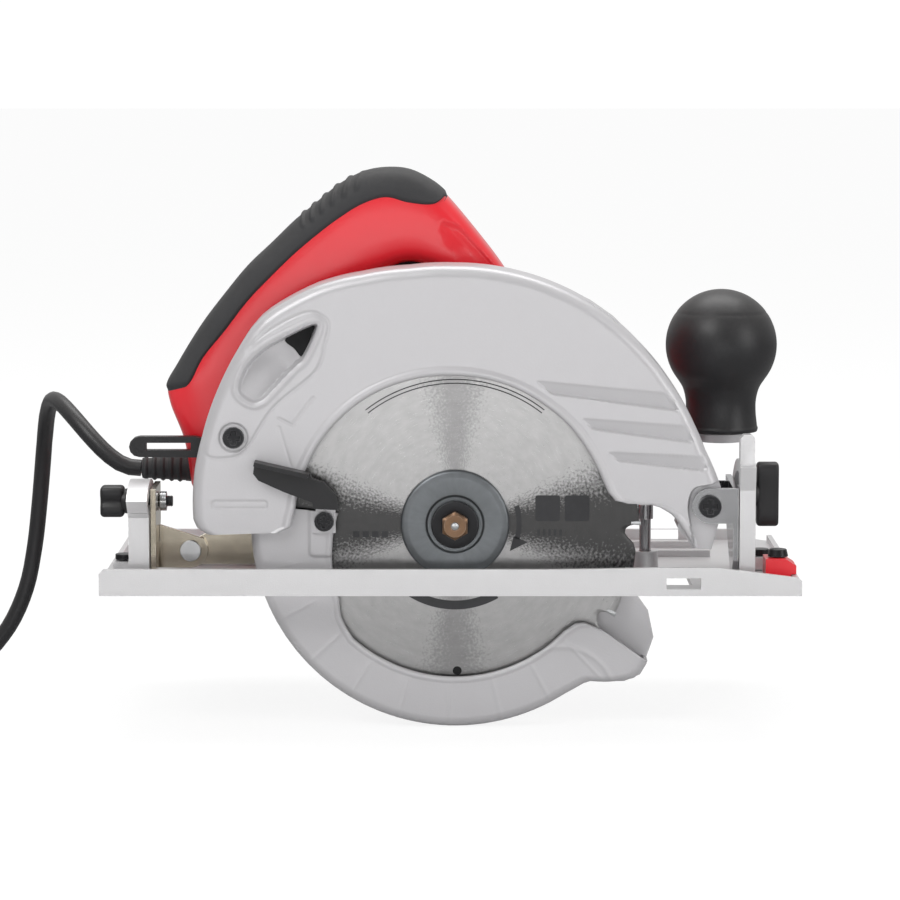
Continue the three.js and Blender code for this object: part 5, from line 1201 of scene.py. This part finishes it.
def make_ball_handle():
    """A sphere with a moulding seam runs down a waisted neck to a flared foot; shallow flats fit thumb and finger."""
    low, high = edges_of("ball_handle")
    x, y = (low[0] + high[0]) / 2, (low[1] + high[1]) / 2
    r = (high[0] - low[0]) / 2
    top, foot = high[2], low[2]
    centre = top - r
    a = np.radians(np.linspace(90, -38, 72))
    ball = np.stack([r * np.cos(a), centre + r * np.sin(a)], 1)
    neck = curve_through(np.vstack([ball[-1:], [[17.4, centre - 19.5], [16.0, centre - 25], [15.9, foot + 9],
                                                [16.6, foot + 2.5]]]), 40)
    base = rounded([[16.6, foot + 2.5], [17.0, foot + 1.6], [16.6, foot], [0, foot]], [0, 0.4, 0.4, 0], 4, False)
    profile = np.vstack([[[0, top]], ball[1:], neck[1:], base])
    seam = 0.22 * np.exp(-((profile[:, 1] - (centre + 14.5)) / 0.45) ** 2)
    profile[:, 0] = np.clip(profile[:, 0] - seam, 0, None)
    grid = swung(profile, (x, y, 0), "z", 128)
    around = np.linspace(0, TAU, 128, endpoint=False)[None]
    height = profile[:, 1][:, None]
    for turn in (-2.35, 0.8):
        apart = (around - turn + math.pi) % TAU - math.pi
        flat = 0.9 * np.exp(-(apart / 0.42) ** 2 - ((height - centre + 1) / 8.5) ** 2)
        grid[..., 0] -= flat * np.cos(around)
        grid[..., 1] -= flat * np.sin(around)
    piece_from("ball_handle_moulded", [poled(grid)], "saw_body", "black_nylon", ("ball_handle",),
               sharp=55)


# ---- Motor ---------------------------------------------------------------------------------------------------

MOTOR_WALL, BRUSH_Y = 3.4, 107.0


def make_motor():
    """Shell and cap are swung about the motor's axis; grooves, ribs and air slots are waves in their radius."""
    low, high = edges_of("motor_housing")
    x, z = (low[0] + high[0]) / 2, (low[2] + high[2]) / 2
    r = (high[0] - low[0]) / 2
    y = np.linspace(low[1], high[1], 150)
    columns = 240
    a = np.linspace(0, TAU, columns, endpoint=False)[None]
    run = (y - low[1])[:, None]
    radius = r - 0.9 * ramp(2.2 - run, 0, 2.2) - 0.5 * ramp(1.2 - (high[1] - y)[:, None], 0, 1.2)
    rib = 0.6 * ramp(np.cos(a * 18), 0.15, 0.75) * ramp(run, 12, 15) * ramp(46 - run, 0, 3)
    slot_wave = ramp(np.cos(a * 24), -0.1, 0.35) * ramp(run, 60, 62) * ramp(76 - run, 0, 2)
    from_brush = np.minimum(np.abs((a + math.pi) % TAU - math.pi), np.abs(a - math.pi))
    boss = np.hypot(from_brush * r, (y - BRUSH_Y)[:, None])
    radius = radius - rib - 2.4 * slot_wave * ramp(boss, 11, 12)
    radius = radius - 0.8 * ramp(8.2 - boss, 0, 0.7) - 0.5 * np.exp(-((boss - 10) / 0.5) ** 2)
    outer = np.stack([x + radius * np.cos(a), np.repeat(y[:, None], columns, 1), z + radius * np.sin(a)], -1)
    bore = swung([[r - MOTOR_WALL, high[1]], [r - MOTOR_WALL, low[1]]], (x, 0, z), "y", columns)
    piece_from("motor_shell", [closed_ring(np.vstack([outer, bore]))], "saw_body", "red_nylon",
               ("motor_housing",), sharp=45)

    low, high = edges_of("motor_end_cap")
    end = high[1]
    curve = rounded([[r - MOTOR_WALL, low[1]], [r, low[1]], [r, end - 15], [36, end - 8], [30, end - 2.5], [20, end],
                     [8, end], [7, end - 1.2], [0, end - 1.2]], [0, 0.6, 6, 6, 5, 3, 0.6, 0.6, 0], 7, False)
    fine = curve_through(curve, 120)
    grid = swung(fine, (x, 0, z), "y", columns)
    rr = fine[:, :1]
    slots = ramp(np.cos(a * 16), 0.0, 0.4) * ramp(rr, 12.5, 13.5) * ramp(27.5 - rr, 0, 1.0)
    slots = slots * (fine[:, 1:] > end - 6)
    side = ramp(np.cos(a * 30), 0.1, 0.5) * ramp(fine[:, 1:], low[1] + 2.5, low[1] + 3.5) * ramp(
        low[1] + 8.5 - fine[:, 1:], 0, 1)
    grid[..., 1] -= 2.2 * slots
    grid[..., 0] -= 0.8 * side * np.cos(a)
    grid[..., 2] -= 0.8 * side * np.sin(a)
    inside = swung([[0, end - 4.5], [20, end - 4.6], [28, end - 7], [r - 4.4, end - 15]], (x, 0, z), "y", columns)
    piece_from("motor_cap", [closed_ring(np.vstack([grid, inside]))], "saw_body", "black_nylon",
               ("motor_end_cap",), sharp=45)


# ---- Knobs ---------------------------------------------------------------------------------------------------

FRONT_TOWER, REAR_TOWER, GAP = 7.0, 9.0, 0.3   # thickness of each quadrant's tower, and the gap to its knob


def make_stud(name, begin, end, at, body, finish):
    """A stud along x whose thread is a fine wave in its radius."""
    along = np.linspace(begin, end, 260)
    thread = np.stack([2.35 + 0.15 * np.sin(TAU * along / 0.8), along], 1)
    profile = np.vstack([[[0, begin]], thread, [[0, end]]])
    piece_from(name, [poled(swung(profile, at, "x", 24))], body, finish, sharp=70)


def make_knobs():
    """Wing knobs are softened blocks on round hubs, each on its threaded stud."""
    low, high = edges_of("front_bevel_knob")
    y, z = (low[1] + high[1]) / 2, (low[2] + high[2]) / 2
    start = edges_of("front_quadrant")[0][0] + FRONT_TOWER + GAP
    wing = rounded([[y - 3.6, low[2]], [y + 3.6, low[2]], [y + 4.6, low[2] + 3.4], [y + 4.2, z],
                    [y + 4.6, high[2] - 3.4], [y + 3.6, high[2]], [y - 3.6, high[2]], [y - 4.6, high[2] - 3.4],
                    [y - 4.2, z], [y - 4.6, low[2] + 3.4]], 3.2, 6)
    plate = soft_plate(wing, start + 3.2, high[0], 1.5, 6, "yz")
    hub = rounded([[0, start], [5.5, start], [5.7, start + 2.4], [5.0, start + 4.5], [0, start + 4.5]],
                  [0, 0.4, 0.8, 0.8, 0], 5, False)
    piece_from("front_wing_knob", [capped(plate), poled(swung(hub, (0, y, z), "x", 48))], "front_knob", "black_nylon",
               ("front_bevel_knob",), sharp=45)
    make_stud("front_stud", low[0], start + 4, (0, y, z), "front_knob", "ground_steel")

    low, high = edges_of("rear_bevel_knob")
    y, z = (low[1] + high[1]) / 2, (low[2] + high[2]) / 2
    face = edges_of("rear_quadrant")[1][0] - REAR_TOWER - GAP
    lobes = rounded([[y - 4.6, z - 7], [y + 4.6, z - 7], [y + 5.2, z - 2.5], [y + 3.4, z], [y + 5.2, z + 2.5],
                     [y + 4.6, z + 7], [y - 4.6, z + 7], [y - 5.2, z + 2.5], [y - 3.4, z],
                     [y - 5.2, z - 2.5]], 2.8, 6)
    wings = soft_plate(lobes, low[0], face - 3.4, 1.8, 7, "yz")
    hub = rounded([[0, face - 4.6], [5.2, face - 4.6], [5.6, face - 2.4], [5.6, face], [0, face]],
                  [0, 0.6, 0.6, 0.3, 0], 5, False)
    piece_from("rear_wing_knob", [capped(wings), poled(swung(hub, (0, y, z), "x", 48))], "rear_knob", "black_nylon",
               ("rear_bevel_knob",), sharp=45)
    make_stud("rear_stud", face - 4, high[0], (0, y, z), "rear_knob", "black_oxide")


# ---- Base, brackets and small parts --------------------------------------------------------------------------

def make_base(sizes):
    """The base keeps its engineering form with every edge rounded."""
    for node in ("base_plate", "front_quadrant", "rear_quadrant"):
        softened(node, node + "_cast", "bare_aluminium", sizes.casting_edge, 3)
    softened("sight_indicator", "sight_indicator_moulded", "red_nylon", sizes.metal_edge * 1.5, 3)
    softened("fence_clamp_screw", "fence_clamp_wing", "bright_plating", sizes.metal_edge * 2, 3)


SMALL_PARTS = [
    # node, finish, slot, edge in units of the metal edge
    ("front_bracket", "bright_plating", "bright_plate", 1.0),
    ("rear_bracket", "yellow_plating", "yellow_plate", 1.0),
    ("depth_arm", "yellow_plating", "yellow_plate", 1.0),
    ("arm_pin", "ground_steel", "ground_steel", 1.5),
    ("depth_pivot_screw", "black_oxide", "black_steel", 1.0),
    ("front_stud_nut", "ground_steel", "ground_steel", 1.0),
    ("rear_stud_nut", "ground_steel", "ground_steel", 1.0),
    ("depth_lock_bolt", "ground_steel", "ground_steel", 1.0),
    ("depth_lock_lever", "black_nylon", "black_plastic", 2.4),
    ("lower_guard_lever", "black_nylon", "black_plastic", 1.6),
    ("lever_screw", "black_oxide", "black_steel", 1.0),
    ("outlet_screw", "black_oxide", "black_steel", 1.0),
    ("sight_screw", "black_oxide", "black_steel", 1.0),
    ("front_quadrant_screw", "black_oxide", "black_steel", 1.2),
    ("rear_quadrant_screw", "black_oxide", "black_steel", 1.2),
    ("gear_housing", "bare_aluminium", "bare_casting", 2.0),
    ("trigger", "black_nylon", "black_plastic", 3.0),
    ("lock_off_button", "black_nylon", "black_plastic", 2.0),
    ("spindle_lock_button", "red_nylon", "red_plastic", 2.0),
    ("switch_body", "black_nylon", "black_plastic", 1.5),
]

HIDDEN_PARTS = {
    "ground_steel": ["spindle", "lower_guard_spring", "armature_shaft"],
    "phosphated_steel": ["inner_flange", "driven_gear", "spindle_bearing", "front_bearing", "rear_bearing",
                         "armature_core", "lower_guard_circlip"],
    "enamelled_copper": ["field_coil", "commutator"],
    "pressed_carbon": ["brush_front", "brush_rear"],
    "black_nylon": ["cooling_fan"],
}


def make_small_parts(sizes):
    """Fittings are softened copies; parts deep inside keep their engineering form and take a fitting finish."""
    for node, finish, slot, edge in SMALL_PARTS:
        softened(node, node + "_finished", finish, sizes.metal_edge * edge, 3 if edge > 2 else 2)
    # The lever's foot is painted as the guard is; only the lever above it is black.
    lever = bpy.data.objects["lower_guard_lever_finished"].data
    lever.materials.append(FINISHES["cover_paint"])
    middle = np.empty(len(lever.polygons) * 3)
    lever.polygons.foreach_get("center", middle)
    painted = middle.reshape(-1, 3)[:, 2] / MM - BLADE[2] < 8.4
    lever.polygons.foreach_set("material_index", painted.astype(np.int32))
    for finish, nodes in HIDDEN_PARTS.items():
        for node in nodes:
            source = bpy.data.objects[node]
            for place in source.material_slots:
                place.material = FINISHES[finish]


# ---- Operators and panel -------------------------------------------------------------------------------------

class SawStep:
    """Shared by every step: the settings it reads."""
    bl_options = {"REGISTER"}

    def settings(self, context):
        return context.scene.saw_sizes


class SAW_OT_finishes(SawStep, bpy.types.Operator):
    """Build the finishes that every piece is given"""
    bl_idname = "saw.finishes"
    bl_label = "Finishes"

    def execute(self, context):
        make_finishes(context.scene.saw_colours)
        return {"FINISHED"}


class SAW_OT_stage(SawStep, bpy.types.Operator):
    """Set out the floor, the lights and the camera"""
    bl_idname = "saw.stage"
    bl_label = "Floor, Lights and Camera"

    def execute(self, context):
        make_stage()
        return {"FINISHED"}


class SAW_OT_cord(SawStep, bpy.types.Operator):
    """Lay the lead, its relief, its tie and its plug"""
    bl_idname = "saw.cord"
    bl_label = "Cord and Plug"

    def execute(self, context):
        make_cord(self.settings(context))
        return {"FINISHED"}


class SAW_OT_upper_guard(SawStep, bpy.types.Operator):
    """Cast the upper guard with its louvres and dust outlet"""
    bl_idname = "saw.upper_guard"
    bl_label = "Upper Guard"

    def execute(self, context):
        make_upper_guard(self.settings(context))
        return {"FINISHED"}


class SAW_OT_lower_guard(SawStep, bpy.types.Operator):
    """Cast the swinging lower guard with its boss and chute"""
    bl_idname = "saw.lower_guard"
    bl_label = "Lower Guard"

    def execute(self, context):
        make_lower_guard(self.settings(context))
        return {"FINISHED"}


class SAW_OT_blade(SawStep, bpy.types.Operator):
    """Cut the blade, its carbide tips and its printed marks"""
    bl_idname = "saw.blade"
    bl_label = "Blade"

    def execute(self, context):
        make_blade(self.settings(context))
        return {"FINISHED"}


class SAW_OT_flanges(SawStep, bpy.types.Operator):
    """Turn the flange, the washer and the bolt"""
    bl_idname = "saw.flanges"
    bl_label = "Flange and Bolt"

    def execute(self, context):
        make_flanges()
        return {"FINISHED"}


class SAW_OT_handle(SawStep, bpy.types.Operator):
    """Mould the rear handle and its overgrip"""
    bl_idname = "saw.handle"
    bl_label = "Rear Handle"

    def execute(self, context):
        make_handle(self.settings(context))
        return {"FINISHED"}


class SAW_OT_ball_handle(SawStep, bpy.types.Operator):
    """Mould the ball handle at the front"""
    bl_idname = "saw.ball_handle"
    bl_label = "Ball Handle"

    def execute(self, context):
        make_ball_handle()
        return {"FINISHED"}


class SAW_OT_motor(SawStep, bpy.types.Operator):
    """Mould the motor's shell and its end cap"""
    bl_idname = "saw.motor"
    bl_label = "Motor Shell"

    def execute(self, context):
        make_motor()
        return {"FINISHED"}


class SAW_OT_knobs(SawStep, bpy.types.Operator):
    """Mould both wing knobs and thread their studs"""
    bl_idname = "saw.knobs"
    bl_label = "Bevel Knobs"

    def execute(self, context):
        make_knobs()
        return {"FINISHED"}


class SAW_OT_base(SawStep, bpy.types.Operator):
    """Soften the base plate and what is fixed to it"""
    bl_idname = "saw.base"
    bl_label = "Base Plate"

    def execute(self, context):
        make_base(self.settings(context))
        return {"FINISHED"}


class SAW_OT_small_parts(SawStep, bpy.types.Operator):
    """Soften the brackets, levers, nuts and screws, and finish the parts inside"""
    bl_idname = "saw.small_parts"
    bl_label = "Brackets and Small Parts"

    def execute(self, context):
        make_small_parts(self.settings(context))
        return {"FINISHED"}


STEPS = (SAW_OT_finishes, SAW_OT_stage, SAW_OT_cord, SAW_OT_upper_guard, SAW_OT_lower_guard, SAW_OT_blade,
         SAW_OT_flanges, SAW_OT_handle, SAW_OT_ball_handle, SAW_OT_motor, SAW_OT_knobs, SAW_OT_base,
         SAW_OT_small_parts)


class SAW_PT_pieces(bpy.types.Panel):
    """Settings and steps of the saw"""
    bl_idname = "SAW_PT_pieces"
    bl_label = "Circular Saw"
    bl_space_type = "VIEW_3D"
    bl_region_type = "UI"
    bl_category = "Saw"

    def draw(self, context):
        scene = context.scene
        for group in (scene.saw_sizes, scene.saw_colours):
            for name in group.__annotations__:
                self.layout.prop(group, name)
        for step in STEPS:
            self.layout.operator(step.bl_idname)


CLASSES = (SawSizes, SawColours) + STEPS + (SAW_PT_pieces,)


def register():
    """Add the classes and the scene's settings."""
    for cls in CLASSES:
        bpy.utils.register_class(cls)
    bpy.types.Scene.saw_sizes = bpy.props.PointerProperty(type=SawSizes)
    bpy.types.Scene.saw_colours = bpy.props.PointerProperty(type=SawColours)


def unregister():
    """Take them away again."""
    del bpy.types.Scene.saw_colours
    del bpy.types.Scene.saw_sizes
    for cls in reversed(CLASSES):
        bpy.utils.unregister_class(cls)


def main():
    """Build every piece in order."""
    register()
    for step in STEPS:
        family, name = step.bl_idname.split(".")
        getattr(getattr(bpy.ops, family), name)()


if __name__ == "__main__":
    main()
